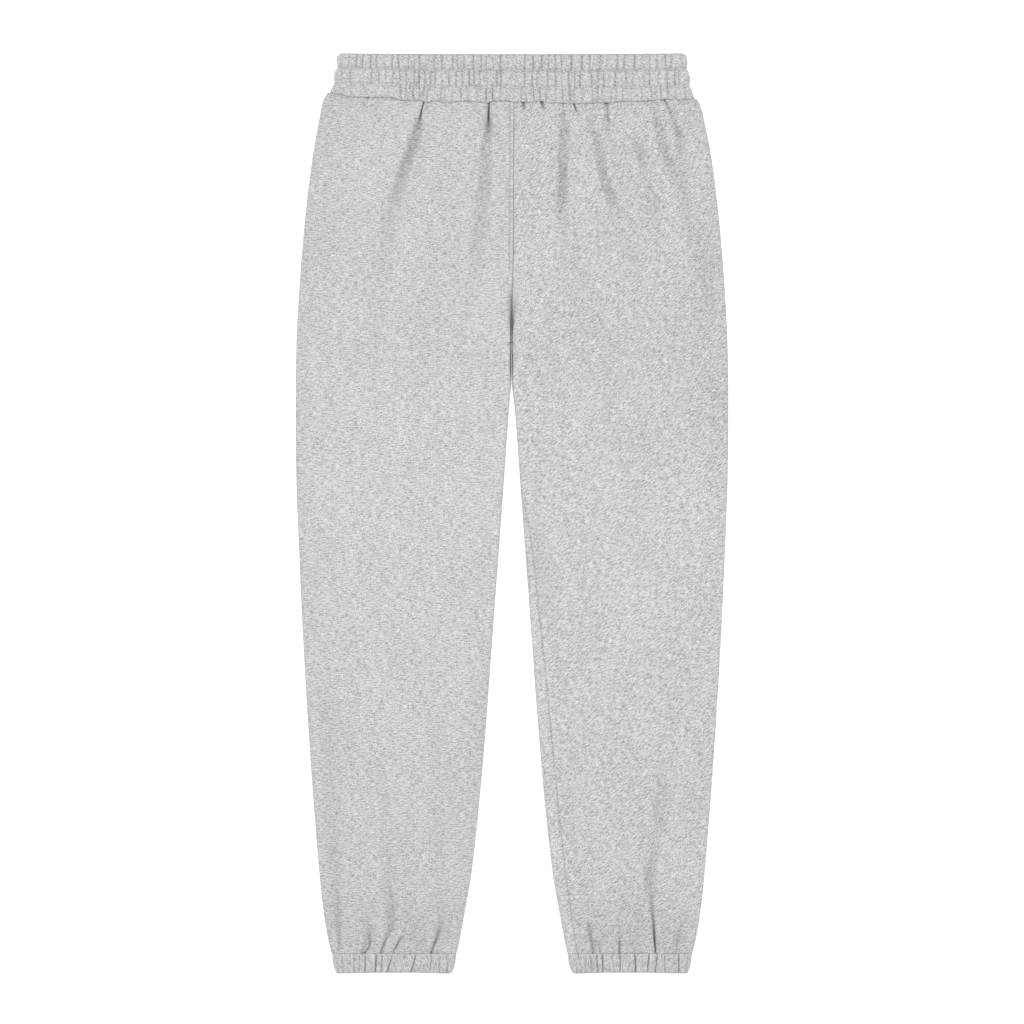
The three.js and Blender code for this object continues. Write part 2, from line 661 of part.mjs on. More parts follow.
const LEFT = { name: "left", side: 1, creases: LEFT_CREASES, pleats: LEFT_PLEATS };
const RIGHT = { name: "right", side: -1, creases: RIGHT_CREASES, pleats: RIGHT_PLEATS };
const joggers = new THREE.Group();
joggers.add(
  piece("waistband", waistband()),
  piece("front_left", frontPanel(LEFT)),
  piece("front_right", frontPanel(RIGHT)),
  piece("back_left", backPanel(LEFT)),
  piece("back_right", backPanel(RIGHT)),
  piece("ankle_casing_left", ankleCasing(LEFT)),
  piece("ankle_casing_right", ankleCasing(RIGHT)),
);

export default joggers;
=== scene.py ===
"""Jogger sweatpants of heather grey brushed fleece, laid flat on their back.

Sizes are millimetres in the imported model's frame: the front faces +Z, the waist lies towards +Y
and the wearer's left leg at +X. Meshes and lights are made in metres. Each piece of cloth is a thin
closed shell on the form of its solid, with its creases, gathers and sewn edges in the shell itself.
"""
import math
from types import SimpleNamespace

import bpy
import numpy as np
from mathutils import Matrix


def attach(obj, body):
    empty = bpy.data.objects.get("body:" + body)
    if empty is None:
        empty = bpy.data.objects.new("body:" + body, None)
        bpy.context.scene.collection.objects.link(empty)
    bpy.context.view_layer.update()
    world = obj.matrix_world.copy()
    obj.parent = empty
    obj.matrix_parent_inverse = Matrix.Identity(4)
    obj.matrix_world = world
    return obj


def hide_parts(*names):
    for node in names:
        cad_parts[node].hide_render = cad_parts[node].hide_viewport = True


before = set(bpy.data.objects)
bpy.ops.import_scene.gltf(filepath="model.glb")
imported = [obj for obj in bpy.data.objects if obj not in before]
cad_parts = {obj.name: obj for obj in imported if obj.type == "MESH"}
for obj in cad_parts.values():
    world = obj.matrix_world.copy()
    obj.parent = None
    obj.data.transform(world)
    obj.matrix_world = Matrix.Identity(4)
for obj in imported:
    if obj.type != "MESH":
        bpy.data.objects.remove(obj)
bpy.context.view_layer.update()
MM = 0.001


def table(names, rows):
    """A table with named columns, as one array for each column."""
    return dict(zip(names.split(), np.array(rows, float).T))


def crease(rows):
    """A crease's line, and its depth and half width along it."""
    return table("y x deep wide", rows)


# Driving sizes, the same as the solids have
LENGTH = 1000
CLOTH = 2.2  # one layer of brushed fleece
NAP = 0.45  # the brushed nap stands out this far from a folded edge
SLIT = 0.08  # between two pieces sewn together, which is 0.3 on the solids
CENTRE_GAP = 0.15  # half the gap between the left and the right panels
FOLD_REACH = 4.2  # how far the turn at a folded side edge runs inwards
SIDE_SEAM_DROP = 1.2  # the side seam lies this far below the outer fold's tip
RELIEF_MARGIN = 14  # creases die away over this width beside a folded edge
WAIST_SEAM_Y = 446
WAIST_SEAM_LIFT = 8.5  # the waist seam rises by this much at the side
WAIST_SEAM_POWER = {1: 5, -1: 2.7}  # how late it rises on the left and on the right side
WAIST_SEAM_SAG = {1: 1.1, -1: 0.3}  # it hangs this far down before it rises
SAG_PLACE = 75
SAG_WIDTH = 45
WAIST_HALF = 200
SEAM_WAVE_FADE = 15  # on the back the seam's wave dies away over this width from the side
SEAM_CURVE_FADE_Y = 370
ANKLE_SEAM_Y = -478.5
CROTCH_Y = 183
FRONT_SINK_Y = 252
BACK_SINK_Y = 212

# How far the gathers push the front's waist seam up, across the front from the wearer's right
SEAM_WAVE = table("x up", [
    (-198, 1.9), (-184, 1), (-177.5, -0.5), (-163, 0.6), (-153, 1.1), (-133, 2.2), (-126, 0.8),
    (-116.5, -0.3), (-99, 0.4), (-93.5, -1.4), (-87, 0.2), (-79.5, 0.7), (-73, -0.9), (-49, 1.4),
    (-38, 0.2), (-26.5, -1), (-21.5, 1), (-5.5, 1.7), (2, 0.2), (25, 0.3), (32, 1.6), (37.5, -0.4),
    (45.5, -0.3), (64.5, -1), (70, -1.2), (86.5, -0.4), (100, -0.5), (108, -1.1), (111, 0),
    (122, 0.2), (134, -0.5), (148, -0.1), (164, -0.3), (176, -1.3), (181.5, -3), (191.5, -4),
    (199, -4.4),
])

# The centre front and centre back stray this far towards the wearer's left
CENTRE = table("y x", [
    (447, 2.2), (360, 1.7), (285, 1.4), (235, 0.4), (183, -0.7), (140, -0.6), (105, 0),
])

# Outline of one leg: the outer fold and the inner fold, from the centre line
OUTLINE = table("y outer inner", [
    (456, 199.6, 0.3), (450.5, 203.2, 0.3), (444, 205.8, 0.3), (428, 209, 0.3), (395, 215.3, 0.3),
    (351, 221.3, 0.3), (308, 225.9, 0.3), (243, 231.1, 0.3), (183, 234.2, 0.3), (139, 235, 0.7),
    (112, 235, 3.6), (47, 234.6, 8.3), (-40, 231.3, 14.6), (-127, 227.4, 21.1), (-214, 222.4, 27.4),
    (-301, 216.5, 34.7), (-388, 209.4, 44), (-431, 204.8, 51.3), (-464, 199.4, 57.4),
    (-479, 195.8, 60.6),
])

# Height of the laid cloth above the surface: it puffs up beside the elastic
LOFT = table("y height", [
    (456, 7.4), (446, 7.7), (425, 7.8), (390, 7.4), (340, 7), (260, 6.6), (100, 6.4), (-200, 6.2),
    (-380, 6.6), (-440, 7.2), (-477, 7.2),
])

# How far the inseam lies from the inner fold's tip, on the front
INSEAM = table("y left right", [
    (183, 0, 0), (110, 0, 0), (30, 1.5, 0.5), (10, 4.5, 0.8), (-40, 9.5, 1), (-127, 12.5, 1),
    (-214, 15, 1), (-388, 16, 1), (-477, 13, 1),
])

# The largest creases of each leg, soft troughs from the waist seam to the ankle that nearly die
# away between. x is the distance from the centre line.
LEFT_CREASES = {
    "centre": crease([
        (448, 55.5, 1, 4), (430, 56.2, 1.4, 4.2), (415, 57, 2.3, 4.4), (395, 55.2, 2, 4.4),
        (365, 55.4, 2.4, 3.6), (335, 53.8, 2.2, 5.2), (300, 58, 0.4, 8), (183, 72, 0.2, 9),
        (-300, 82, 0.2, 8), (-410, 81, 0.4, 5), (-441, 83, 0.8, 3.4), (-464, 87, 1.1, 3),
        (-479, 89, 0.9, 3),
    ]),
    "slanting": crease([
        (448, 86, 0.5, 4.2), (422, 86, 1.4, 4.4), (405, 92.5, 1.5, 3.6), (388, 95.5, 1.8, 4.4),
        (370, 99.2, 2.2, 4), (350, 104, 2.5, 4.8), (328, 112, 1.4, 6), (302, 123, 1, 7.6),
        (275, 131, 1.3, 8), (235, 137, 0.5, 9), (183, 140, 0.2, 9), (-300, 124, 0.1, 8),
        (-420, 120, 0.3, 5), (-450, 118.5, 0.5, 3.6), (-479, 117.5, 0.7, 3),
    ]),
    "middle": crease([
        (448, 102.2, 1.5, 4), (437, 102.6, 1.1, 3.4), (420, 104.2, 1, 3), (404, 109, 0.6, 4),
        (384, 118, 0.2, 5), (356, 134, 0.3, 6), (325, 149, 0.6, 8), (250, 165, 0.3, 9),
        (100, 172, 0.2, 9), (-200, 172, 0.4, 9), (-271, 167, 1.2, 9), (-323, 162.5, 1.8, 8),
        (-360, 157, 1.3, 6), (-395, 149, 2, 4.2), (-420, 151.2, 1, 3.2), (-437, 153.5, 0.9, 2.6),
        (-479, 156, 1.5, 2.8),
    ]),
    "side": crease([
        (450, 163.5, 1.1, 3.6), (435, 171, 1.1, 3.2), (424, 175.6, 1.2, 3), (410, 181.6, 2.1, 3.6),
        (395, 184, 1.2, 5), (359, 189, 0.8, 7), (330, 195, 0.5, 8), (183, 204, 0.2, 8),
        (-300, 196, 0.1, 6), (-430, 188, 0.3, 4), (-464, 180.5, 0.5, 3), (-479, 179, 0.4, 3),
    ]),
}
RIGHT_CREASES = {
    "centre": crease([
        (448, 25, 1.6, 3.4), (430, 25.3, 2.4, 3.6), (415, 26, 2.4, 3.6), (400, 28, 2, 4.4),
        (384, 29.2, 2.2, 5), (362, 29.6, 2.2, 5.6), (340, 31, 2.1, 6.4), (310, 35, 1.9, 7),
        (278, 39.5, 1.3, 8), (183, 48, 0.2, 9), (-260, 82, 0.3, 8), (-330, 80, 0.7, 8),
        (-380, 80.5, 1, 7), (-421, 78.5, 0.8, 5.2), (-446, 77.5, 1, 3.6), (-479, 88, 1, 2.8),
    ]),
    "slanting": crease([
        (448, 60, 0.1, 5), (300, 84, 0.1, 9), (100, 96, 0.2, 9), (-300, 109, 0.1, 7),
        (-432, 111.5, 0.6, 4), (-453, 115.5, 0.5, 3), (-467, 123.5, 0.7, 2.8),
        (-479, 128.5, 0.5, 2.8),
    ]),
    "middle": crease([
        (449, 95.2, 1.4, 3.2), (440, 98, 1, 3), (430, 99.6, 1.5, 3.4), (416, 102.2, 2.6, 4.4),
        (390, 110.8, 2.9, 5), (362, 120.5, 2.6, 5.4), (318, 132.5, 1.9, 7.2), (270, 139, 1.3, 8.4),
        (235, 142, 0.7, 10), (120, 148, 0.2, 10), (-300, 138, 0.3, 8), (-400, 135, 1.2, 5.6),
        (-433, 131.5, 1.8, 4.2), (-452, 132.8, 1.3, 3.4), (-467, 139, 1.1, 3), (-479, 142.5, 1, 2.8),
    ]),
    "side": crease([
        (451, 154, 0.5, 3.4), (438, 161, 0.4, 4), (418, 168, 0.2, 5.4), (380, 178, 0.2, 7),
        (300, 194, 0.2, 8), (183, 201, 0.2, 8), (-300, 176, 0.2, 7), (-430, 159.5, 0.4, 4.8),
        (-464, 156.5, 1.6, 3.8), (-479, 161.5, 1.5, 3.6),
    ]),
}
CREASE_DEPTH = 1.4  # the cloth's own creases are deeper than the solid's by this factor
INSIDE_TOP = CLOTH + 0.2  # a crease in the front sinks no further than to the back
THINNEST = 0.35  # of the cloth at the bottom of its deepest creases
FACES_UP = 0.3  # the normal's height from which a place is on top of the leg
RIDGE_SHARE = 0.32  # the cloth rises beside a trough by this share of its depth
RIDGE_PLACE = 1.9  # the ridge stands this many half widths from the trough's middle

# Painted shade: the cloth's colour is made darker in creases, gathers, pleats, at seams and between the
# legs, where shade falls
HOLLOW_SHADE = 0.8  # where the painted shade is 1, the cloth's colour is made darker by this share
MOST_PAINTED_SHADE = 1.22  # the most painted shade, between the legs, where hardly any light reaches
LARGE_CREASE_SHADE = 0.34
SMALL_CREASE_SHADE = 0.62
WAIST_SHADE = 0.05
ANKLE_SHADE = 0.1
GATHER_SHADE = 0.4
PLEAT_SHADE = 0.85

# Small creases that only the cloth has, from their upper to their lower end
LEFT_SMALL_CREASES = {
    "first notch": crease([(448, 12, 2, 2.4), (443, 12.6, 1.8, 2.2), (436, 14, 0, 3)]),
    "second notch": crease([(448, 31.6, 2.4, 2.4), (442, 33, 1.8, 2.2), (436, 35, 0, 2.4)]),
    "centre pinch": crease([(448, 55, 0.5, 1.1), (437, 55.6, 0.4, 1.3), (425, 55.5, 0, 2)]),
    "third notch": crease([(448, 66.6, 1.7, 1.8), (442, 68.6, 2, 1.2), (433, 71.6, 0, 1.4)]),
    "middle pinch": crease([
        (447, 103.4, 0.4, 3), (438, 103.6, 0.8, 1.2), (430, 103.8, 0.6, 1), (421, 104.2, 0, 1.6),
    ]),
    "side pinch": crease([
        (452, 162.5, 1.3, 1), (444, 166.3, 0.9, 1), (430, 173.2, 0.2, 1.4), (420, 177, 0, 1.4),
    ]),
    "last notch": crease([(452, 187.8, 0.7, 1.4), (448, 190.2, 0.6, 1.4), (442, 193, 0, 2)]),
    "broad slant": crease([
        (440, 153, 0.4, 5), (424, 157, 1.1, 5), (403, 163, 0.9, 5), (384, 169.4, 1.4, 5),
        (366, 178.4, 1, 6), (340, 188, 0.7, 8), (310, 194, 0.6, 9), (280, 199, 0, 9),
    ]),
    "low slant": crease([
        (416, 131, 0, 5), (398, 136.5, 1.4, 5.4), (370, 144.6, 0.6, 4.4), (346, 152, 0.7, 5),
        (328, 156.5, 0.8, 5), (308, 158, 0, 7),
    ]),
    "hip": crease([
        (330, 202, 0, 10), (290, 208, 0.9, 11), (248, 213, 1.3, 10), (205, 216, 0.4, 9),
        (160, 219, 0, 9),
    ]),
    "below the centre crease": crease([
        (320, 60, 0, 10), (286, 67, 0.7, 12), (262, 73, 0.7, 12), (225, 80, 0, 10),
    ]),
    "beside the inseam": crease([
        (30, 14, 0, 7), (0, 20, 0.6, 8), (-51, 31, 1, 10), (-95, 38, 0.8, 9), (-160, 50, 0.2, 9),
        (-210, 56, 0, 9),
    ]),
    "low inner": crease([(-300, 60, 0, 8), (-339, 63, 0.5, 8), (-380, 66, 0, 8)]),
    "ankle first": crease([
        (-440, 81.8, 0, 1.6), (-458, 85, 0.6, 1.3), (-470, 87, 0.7, 1.2), (-479, 88.2, 0.6, 1.2),
    ]),
    "ankle second": crease([
        (-430, 88.6, 0, 2), (-450, 91.4, 0.3, 2), (-470, 95, 0.4, 1.8), (-479, 96.4, 0.4, 1.8),
    ]),
    "ankle third": crease([
        (-452, 117.6, 0, 1.4), (-464, 117, 0.7, 1.2), (-472, 116.7, 1.1, 1.1),
        (-479, 116.4, 0.8, 1.1),
    ]),
    "ankle pinch": crease([
        (-398, 149.8, 0, 1.6), (-422, 151.4, 0.5, 1.3), (-446, 153.6, 1.1, 1), (-466, 155, 2.4, 0.9),
        (-475, 155.8, 1.6, 0.9), (-479, 156, 0.6, 0.9),
    ]),
    "ankle fourth": crease([
        (-440, 186, 0, 2), (-456, 182, 0.3, 1.6), (-468, 179.4, 0.4, 1.4), (-479, 177.8, 0.4, 1.4),
    ]),
    "ankle fifth": crease([(-452, 176.2, 0, 1.6), (-464, 175.6, 0.4, 1.5), (-479, 174.8, 0.4, 1.5)]),
    "ankle between": crease([
        (-410, 134, 0, 8), (-440, 134, 0.6, 9), (-466, 134, 0.9, 10), (-479, 134, 0.6, 10),
    ]),
}
RIGHT_SMALL_CREASES = {
    "centre pinch": crease([
        (448, 24.8, 1.4, 0.9), (438, 25.4, 2.4, 1), (430, 25.6, 2.2, 1.1), (424, 25.4, 1, 1.5),
        (410, 26, 0, 2),
    ]),
    "middle pinch": crease([
        (449, 95, 1.6, 0.9), (440, 97.2, 2, 0.9), (431, 99.2, 2, 0.9), (425, 100.6, 0.9, 1.5),
        (414, 103, 0, 2),
    ]),
    "side notch": crease([(452, 152, 0.6, 1.2), (446, 155.5, 0.5, 1.2), (432, 162.5, 0, 1.6)]),
    "small notch": crease([(449, 128.5, 0.4, 1.6), (444, 130, 0.3, 1.8), (436, 132, 0, 2)]),
    "ankle outer": crease([
        (-170, 204, 0, 9), (-250, 199, 0.7, 9), (-330, 196.5, 1, 9), (-390, 192.5, 1, 7),
        (-432, 189.6, 1, 4), (-464, 188.4, 1.1, 2.4), (-474, 187.8, 1, 1.5), (-479, 187.8, 0.2, 1.5),
    ]),
    "ankle side": crease([
        (-446, 158.2, 0, 2), (-462, 154.4, 0.7, 1.6), (-471, 155.2, 1.3, 1.3),
        (-479, 160.4, 1.1, 1.2),
    ]),
    "ankle middle": crease([
        (-440, 129.8, 0, 1.8), (-458, 134, 0.5, 1.4), (-470, 140, 0.7, 1.1), (-479, 142.8, 0.7, 1.1),
    ]),
    "ankle knot": crease([
        (-458, 118, 0, 1.4), (-463, 121.4, 0.6, 1.2), (-468, 124.4, 1.4, 0.9),
        (-474, 127.6, 0.9, 1.2), (-479, 129.4, 0, 1.4),
    ]),
    "ankle inner": crease([
        (-446, 76.4, 0, 1.8), (-456, 80, 0.7, 1.6), (-467, 83.8, 1, 1.2), (-479, 88.2, 0.9, 1.1),
    ]),
    "ankle between": crease([
        (-410, 104, 0, 8), (-440, 104, 0.4, 9), (-466, 106, 0.7, 10), (-479, 106, 0.5, 10),
    ]),
}

# The centre front's stitches lie on the right front, and the shade painted between the legs begins below
# them
STITCHES_FROM_CENTRE = 4.2
CENTRE_RIDGE_END = 250
STITCHES_TOP = 443
CENTRE_PAINTED_SHADE = table("y left right wide", [
    (290, 0, 0, 1.4), (250, 0.12, 0.22, 2.4), (234, 0.2, 0.6, 4.4), (222, 0.5, 0.8, 4),
    (211, 1, 1, 3), (199, 1.5, 1.5, 1.6), (189, 2.2, 2.2, 1), (181, 2, 2, 1), (173, 3, 3, 1.2),
    (162, 3, 3, 1.2), (151, 2.2, 2.2, 1.1), (138, 1, 1, 1), (118, 0, 0, 1.4),
])
INSEAM_SHADE = {"left": 0.2, "right": 0}

# Broad painted shade: the cloth's colour is made a little darker towards the waist and on the calf,
# along the outer
# # fold and, on the right leg, low down along the inner fold
THIGH_SHADE = {"left": 0.062, "right": 0.05}
THIGH_SHADE_FADE = {"left": 180, "right": 300}
THIGH_SHADE_END = -20
BELOW_WAIST_SHADE = 0.055
BELOW_WAIST_FADE = 40
CALF_SHADE = 0.015
CALF_Y = -330
CALF_SPREAD = 80
OUTER_FOLD_SHADE = 0.045
OUTER_FOLD_SHADE_FADE = 340
INNER_FOLD_SHADE = 0.055
INNER_FOLD_SHADE_TOP = -95
BAND_WIDTH = 24
SEAM_UNEVENNESS = 0.6  # the waist seam is pulled in deeper and less deep by this share

# Waistband and ankle casings
WAISTBAND = SimpleNamespace(height=9.8, turn=6, top=LENGTH / 2 - 0.6, sag=0.9, valley=1.6)
WAISTBAND.rows = (-1, 0.3, 0.655, 2)  # the rows of stitches lie at these shares of its width
WAISTBAND.shades = (0.09, 0.17)  # painted shade along the lower row and along the upper row
WAISTBAND.columns = (1150, 18, 380)  # of points over the front, round one fold and over the back
WAISTBAND.fullness = 1.35  # the gathered cloth is this much longer than the loop
WAISTBAND.back_gathers = 44
# Its section from the waist seam over the top to the inside, as in the solid
WAISTBAND_SECTION = table("rise depth half gather", [
    (0, 1.1, 199.5, 0.4), (0.09, 0, 197, 1), (0.2, 0.2, 195.2, 1), (0.3, 1.2, 193.9, 0.5),
    (0.385, 0.1, 193.5, 1), (0.48, 0, 193.7, 1), (0.57, 0.2, 192.6, 1), (0.655, 1.2, 190.8, 0.5),
    (0.74, 0.1, 190.6, 1), (0.83, 0, 190.9, 1), (0.93, 0.5, 190.6, 1), (0.985, 1.3, 189, 0.6),
    (1, 2.2, 187.4, 0.3), (0.96, 3.2, 187, 0), (0, 3.2, 198.6, 0),
])
# Gathers across the front of the waistband, from the wearer's right: the valley's place, how far its
# upper end leans towards the wearer's left and its depth as a share of the waistband's valley
TOP_TUBE = table("x lean deep", [
    (-185, 3, 0.3), (-179, 5, 0.6), (-170.5, 6, 0.8), (-162.5, 2, 0.8), (-154, 2, 0.9),
    (-147.5, 2, 0.7), (-139, 0, 0.3), (-131, 3, 0.8), (-122.5, -3, 0.8), (-113, 2, 0.7),
    (-107, 0, 0.3), (-100.5, 1, 0.8), (-93.5, 0, 0.5), (-84.5, 0, 0.8), (-76.5, 1, 0.8),
    (-64.5, 1, 0.9), (-58.5, -3, 0.6), (-52, 0, 0.7), (-42.5, 2, 0.8), (-33.5, 0, 0.8),
    (-28, 0, 0.6), (-20.5, 0, 0.3), (-13, 1, 0.9), (-4.5, 0, 0.2), (4.5, 0, 0.2), (13.5, 1, 0.7),
    (23.5, -1, 0.8), (32, 1, 0.9), (39.5, 0, 0.6), (47, 0, 0.8), (53.5, 0, 0.5), (58.5, 0, 0.3),
    (64.5, 0, 0.9), (75.5, 1, 1), (83.5, 3, 0.7), (95, 2, 0.8), (103.5, 0, 0.3), (113.5, 2, 0.8),
    (121.5, 1, 0.7), (132.5, 1, 0.9), (141, 0, 0.3), (149.5, -1, 0.6), (158, -2, 0.7), (167, -2, 1),
    (174, -4, 0.6), (185, -3, 0.4),
])
MIDDLE_TUBE = table("x lean deep", [
    (-185, 3, 0.4), (-175.5, 2, 0.7), (-165, 0, 0.3), (-152.5, 5, 0.9), (-144.5, 0, 0.6),
    (-137, 0, 0.3), (-129, 2, 0.5), (-121.5, -2, 0.7), (-115, -3, 0.6), (-106, 0, 0.7),
    (-101, -1, 0.9), (-94.5, 1, 0.7), (-88.5, 1, 0.7), (-83.5, 0, 0.8), (-76, 0, 0.3),
    (-68.5, -3, 0.7), (-60.5, 0, 0.8), (-54, -2, 0.7), (-46.5, -1, 1), (-41, 0, 0.9), (-35, 0, 0.6),
    (-27, 0, 0.4), (-16.5, 1, 1), (-12, -1, 0.8), (-4.5, 0, 0.2), (5.5, 0, 0.2), (13.5, 0, 0.8),
    (22, 0, 0.9), (27, 0, 0.6), (39, -1, 0.8), (47.5, -2, 0.9), (54, 0, 0.4), (61.5, -1, 0.9),
    (68, 0, 0.7), (74, 1, 1), (86, -4, 0.8), (93, -2, 0.7), (99.5, -1, 0.7), (105.5, 0, 0.3),
    (112, 0, 0.9), (124, -4, 0.7), (131, 0, 0.6), (144, 1, 0.5), (149, -2, 1), (159, 0, 0.6),
    (168.5, -2, 0.7), (176.5, -1, 0.9), (181, -2, 0.6),
])
BOTTOM_TUBE = table("x lean deep", [
    (-189, -6, 0.4), (-174, 2, 0.3), (-161, 0, 0.3), (-148, 0, 0.3), (-135, 0, 0.3), (-121, 0, 0.7),
    (-115.5, 0, 0.4), (-107.5, -1, 1), (-100.5, 0, 0.8), (-95, 4, 0.8), (-90, 5, 0.8),
    (-83.5, 2, 0.4), (-76.5, 2, 0.7), (-72, 2, 0.5), (-64, 1, 0.4), (-55.5, 0, 0.7), (-48, 0, 0.3),
    (-39, -3, 0.5), (-28, 0, 1), (-21, 0, 1), (-12.5, 0, 0.6), (-5.5, 0, 0.2), (2.5, 0, 0.3),
    (10, 0, 0.6), (15, -1, 0.5), (23, -1, 0.7), (30, -1, 1), (37, 0, 0.7), (47, 0, 0.6),
    (54.5, -2, 0.8), (62.5, -1, 1), (68, 1, 0.8), (77, 0, 0.3), (87.5, 0, 0.8), (93, 0, 0.7),
    (98.5, 1, 0.5), (107.5, 0, 0.6), (113, 0, 0.4), (120, 0, 0.6), (129.5, 0, 0.3), (140.5, -2, 0.5),
    (150.5, -3, 0.7), (155.5, -3, 0.5), (160.5, -3, 0.7), (167.5, -4, 0.8), (176, -4, 0.4),
    (186, -6, 0.6),
])
TUBES = (BOTTOM_TUBE, MIDDLE_TUBE, TOP_TUBE)
CASING = SimpleNamespace(height=8.8, turn=5, bottom=-LENGTH / 2, bow=1, valley=1.5)
CASING.columns = (300, 14, 150)
CASING.fullness = 1.2
CASING.back_pleats = 12
CASING_SECTION = table("rise depth outer inner gather", [
    (1, 0.9, 196.3, 59.8, 0.5), (0.8, 0.1, 195.4, 60.8, 1), (0.4, 0, 194.2, 62.2, 1),
    (0.12, 0.3, 192.4, 64.2, 1), (0, 1.4, 191.6, 64.8, 0.3), (0.08, 3, 191.9, 64.8, 0),
    (1, 3, 196.3, 59.8, 0),
])
# Pleats across the front of each casing: their distance from the centre line at the seam and at the
# foot, and their depth as a share of the casing's valley
LEFT_PLEATS = table("seam foot deep", [
    (190.9, 190.3, 0.35), (181, 180.8, 1), (174, 173.5, 0.4), (165.4, 166.2, 0.7), (157.7, 155.6, 1),
    (149, 146.4, 0.8), (133.3, 134.3, 1), (117.3, 117.4, 0.9), (108.5, 111.5, 0.4), (98, 98.8, 0.9),
    (91.8, 93.6, 0.7), (84.8, 87.5, 0.6), (79.4, 81, 0.3), (71.8, 76.1, 0.5),
])
RIGHT_PLEATS = table("seam foot deep", [
    (184.3, 183.8, 0.35), (171.8, 171.3, 0.45), (165.3, 165.9, 0.6), (159.3, 159.4, 0.9),
    (146.8, 148.5, 1), (140.8, 142, 0.6), (129.4, 136, 0.9), (115.3, 119.5, 0.3),
    (103.9, 109.8, 0.95), (94.6, 96.3, 0.35), (87, 89.2, 0.5), (78.3, 78.9, 0.35),
    (70.2, 70.2, 0.35),
])

# How close the points lie down the panels
ROW_SPACING = table("y step", [
    (448, 0.4), (446, 0.8), (440, 1.3), (400, 2.2), (340, 4), (250, 5), (140, 5.5), (100, 9),
    (-300, 9), (-380, 4), (-440, 1.8), (-474, 1.2), (-477, 0.8), (-479, 0.4),
])
FRONT_COLUMNS = 220
BACK_COLUMNS = 64

STITCH_SPACING = 3
STITCH_LENGTH = 2.4
STITCH_THICKNESS = 0.42
STITCH_UNEVENNESS = 0.12  # a stitch turns out of line by up to this angle, in radians


def smooth(t):
    s = np.clip(t, 0, 1)
    return s * s * (3 - 2 * s)


def lerp(a, b, t):
    return a + (b - a) * t


def sample(rows, column, y):
    """A column of a table at the heights y, as a smooth curve through its rows, which run downwards."""
    heights, values = rows["y"], rows[column]
    last = len(heights) - 1
    above = np.maximum(np.arange(last + 1) - 1, 0)
    below = np.minimum(np.arange(last + 1) + 1, last)
    slope = (values[below] - values[above]) / (heights[below] - heights[above])
    i = np.clip(np.searchsorted(-heights, -np.asarray(y, float), side="right") - 1, 0, last - 1)
    span = heights[i + 1] - heights[i]
    t = np.clip((y - heights[i]) / span, 0, 1)
    h = t * t * (3 - 2 * t)
    bend = t * (1 - t) ** 2 * slope[i] - t * t * (1 - t) * slope[i + 1]
    return lerp(values[i], values[i + 1], h) + span * bend


def spread(fine, density, count):
    """count + 1 places along fine, closest together where the density is high."""
    crowd = np.concatenate([[0], np.cumsum((density[1:] + density[:-1]) / 2 * np.diff(fine))])
    return np.interp(np.linspace(0, crowd[-1], count + 1), crowd, fine)


def near_waist_seam(y):
    return smooth((y - SEAM_CURVE_FADE_Y) / (WAIST_SEAM_Y - SEAM_CURVE_FADE_Y))


def seam_lift(x, on_front):
    """How far the waist seam rises at x: in a curve on the front, in a straight line on the back."""
    share = np.minimum(1, np.abs(x) / WAIST_HALF)
    power = np.where(x > 0, WAIST_SEAM_POWER[1], WAIST_SEAM_POWER[-1])
    sag = np.where(x > 0, WAIST_SEAM_SAG[1], WAIST_SEAM_SAG[-1])
    sag = sag * np.exp(-(((np.abs(x) - SAG_PLACE) / SAG_WIDTH) ** 2)) * (1 - share)
    wave = np.interp(x, SEAM_WAVE["x"], SEAM_WAVE["up"])
    from_side = WAIST_HALF - np.minimum(np.abs(x), WAIST_HALF)
    wave = wave * np.where(on_front, 1, np.exp(-from_side / SEAM_WAVE_FADE))
    return np.where(on_front, WAIST_SEAM_LIFT * share**power - sag, WAIST_SEAM_LIFT * share) + wave


def relief(creases, x, y):
    """The height that a set of creases adds to the cloth at its points, and the shade painted in their
    troughs.
    """
    height, closed = np.zeros_like(x), np.zeros_like(x)
    near_seam = np.minimum(WAIST_SEAM_Y - y, y - ANKLE_SEAM_Y)
    narrow = 1 - 0.3 * np.exp(-((near_seam / 16) ** 2))
    for line in creases.values():
        deep, wide = sample(line, "deep", y), sample(line, "wide", y)
        q = np.abs(x - sample(line, "x", y)) / (wide * narrow)
        trough = deep * np.exp(-q * q)
        height += RIDGE_SHARE * deep * np.exp(-((q - RIDGE_PLACE) ** 2)) - trough
        # closed is the shade painted at the bottom of each trough
        closed += trough / (1 + wide / 2)
    return height, closed


def section(y, inner):
    """The closed outline of one leg at the heights y: a flattened tube lying on the surface."""
    outer = sample(OUTLINE, "outer", y + WAIST_SEAM_LIFT * near_waist_seam(y)) + NAP
    half = sample(LOFT, "height", y) / 2
    turn = math.pi / 2 * np.sqrt((FOLD_REACH**2 + half**2) / 2)
    across = outer - inner - 2 * FOLD_REACH
    tip = 2 * turn + across
    return SimpleNamespace(
        outer=outer, inner=inner, half=half, turn=turn, across=across, tip=tip, around=2 * tip
    )


def place_on(s, walked):
    """Places on a section at distances walked from the outer fold's tip over the top."""
    w = walked % s.around
    quarter = math.pi / 2 / s.turn
    far = s.outer - FOLD_REACH
    near = s.inner + FOLD_REACH
    zones = [w <= s.turn, w < s.turn + s.across, w <= s.tip + s.turn, w < s.around - s.turn]
    angle = np.select(
        zones,
        [quarter * w, math.pi / 2, math.pi / 2 + quarter * (w - s.turn - s.across), -math.pi / 2],
        quarter * (w - s.around),
    )
    centre = np.select(
        zones,
        [far, far - (w - s.turn), near, near + (w - s.tip - s.turn)],
        far,
    )
    nx = np.cos(angle) / FOLD_REACH
    nz = np.sin(angle) / s.half
    n = np.hypot(nx, nz)
    return SimpleNamespace(
        x=centre + FOLD_REACH * np.cos(angle), z=s.half + s.half * np.sin(angle), nx=nx / n, nz=nz / n
    )


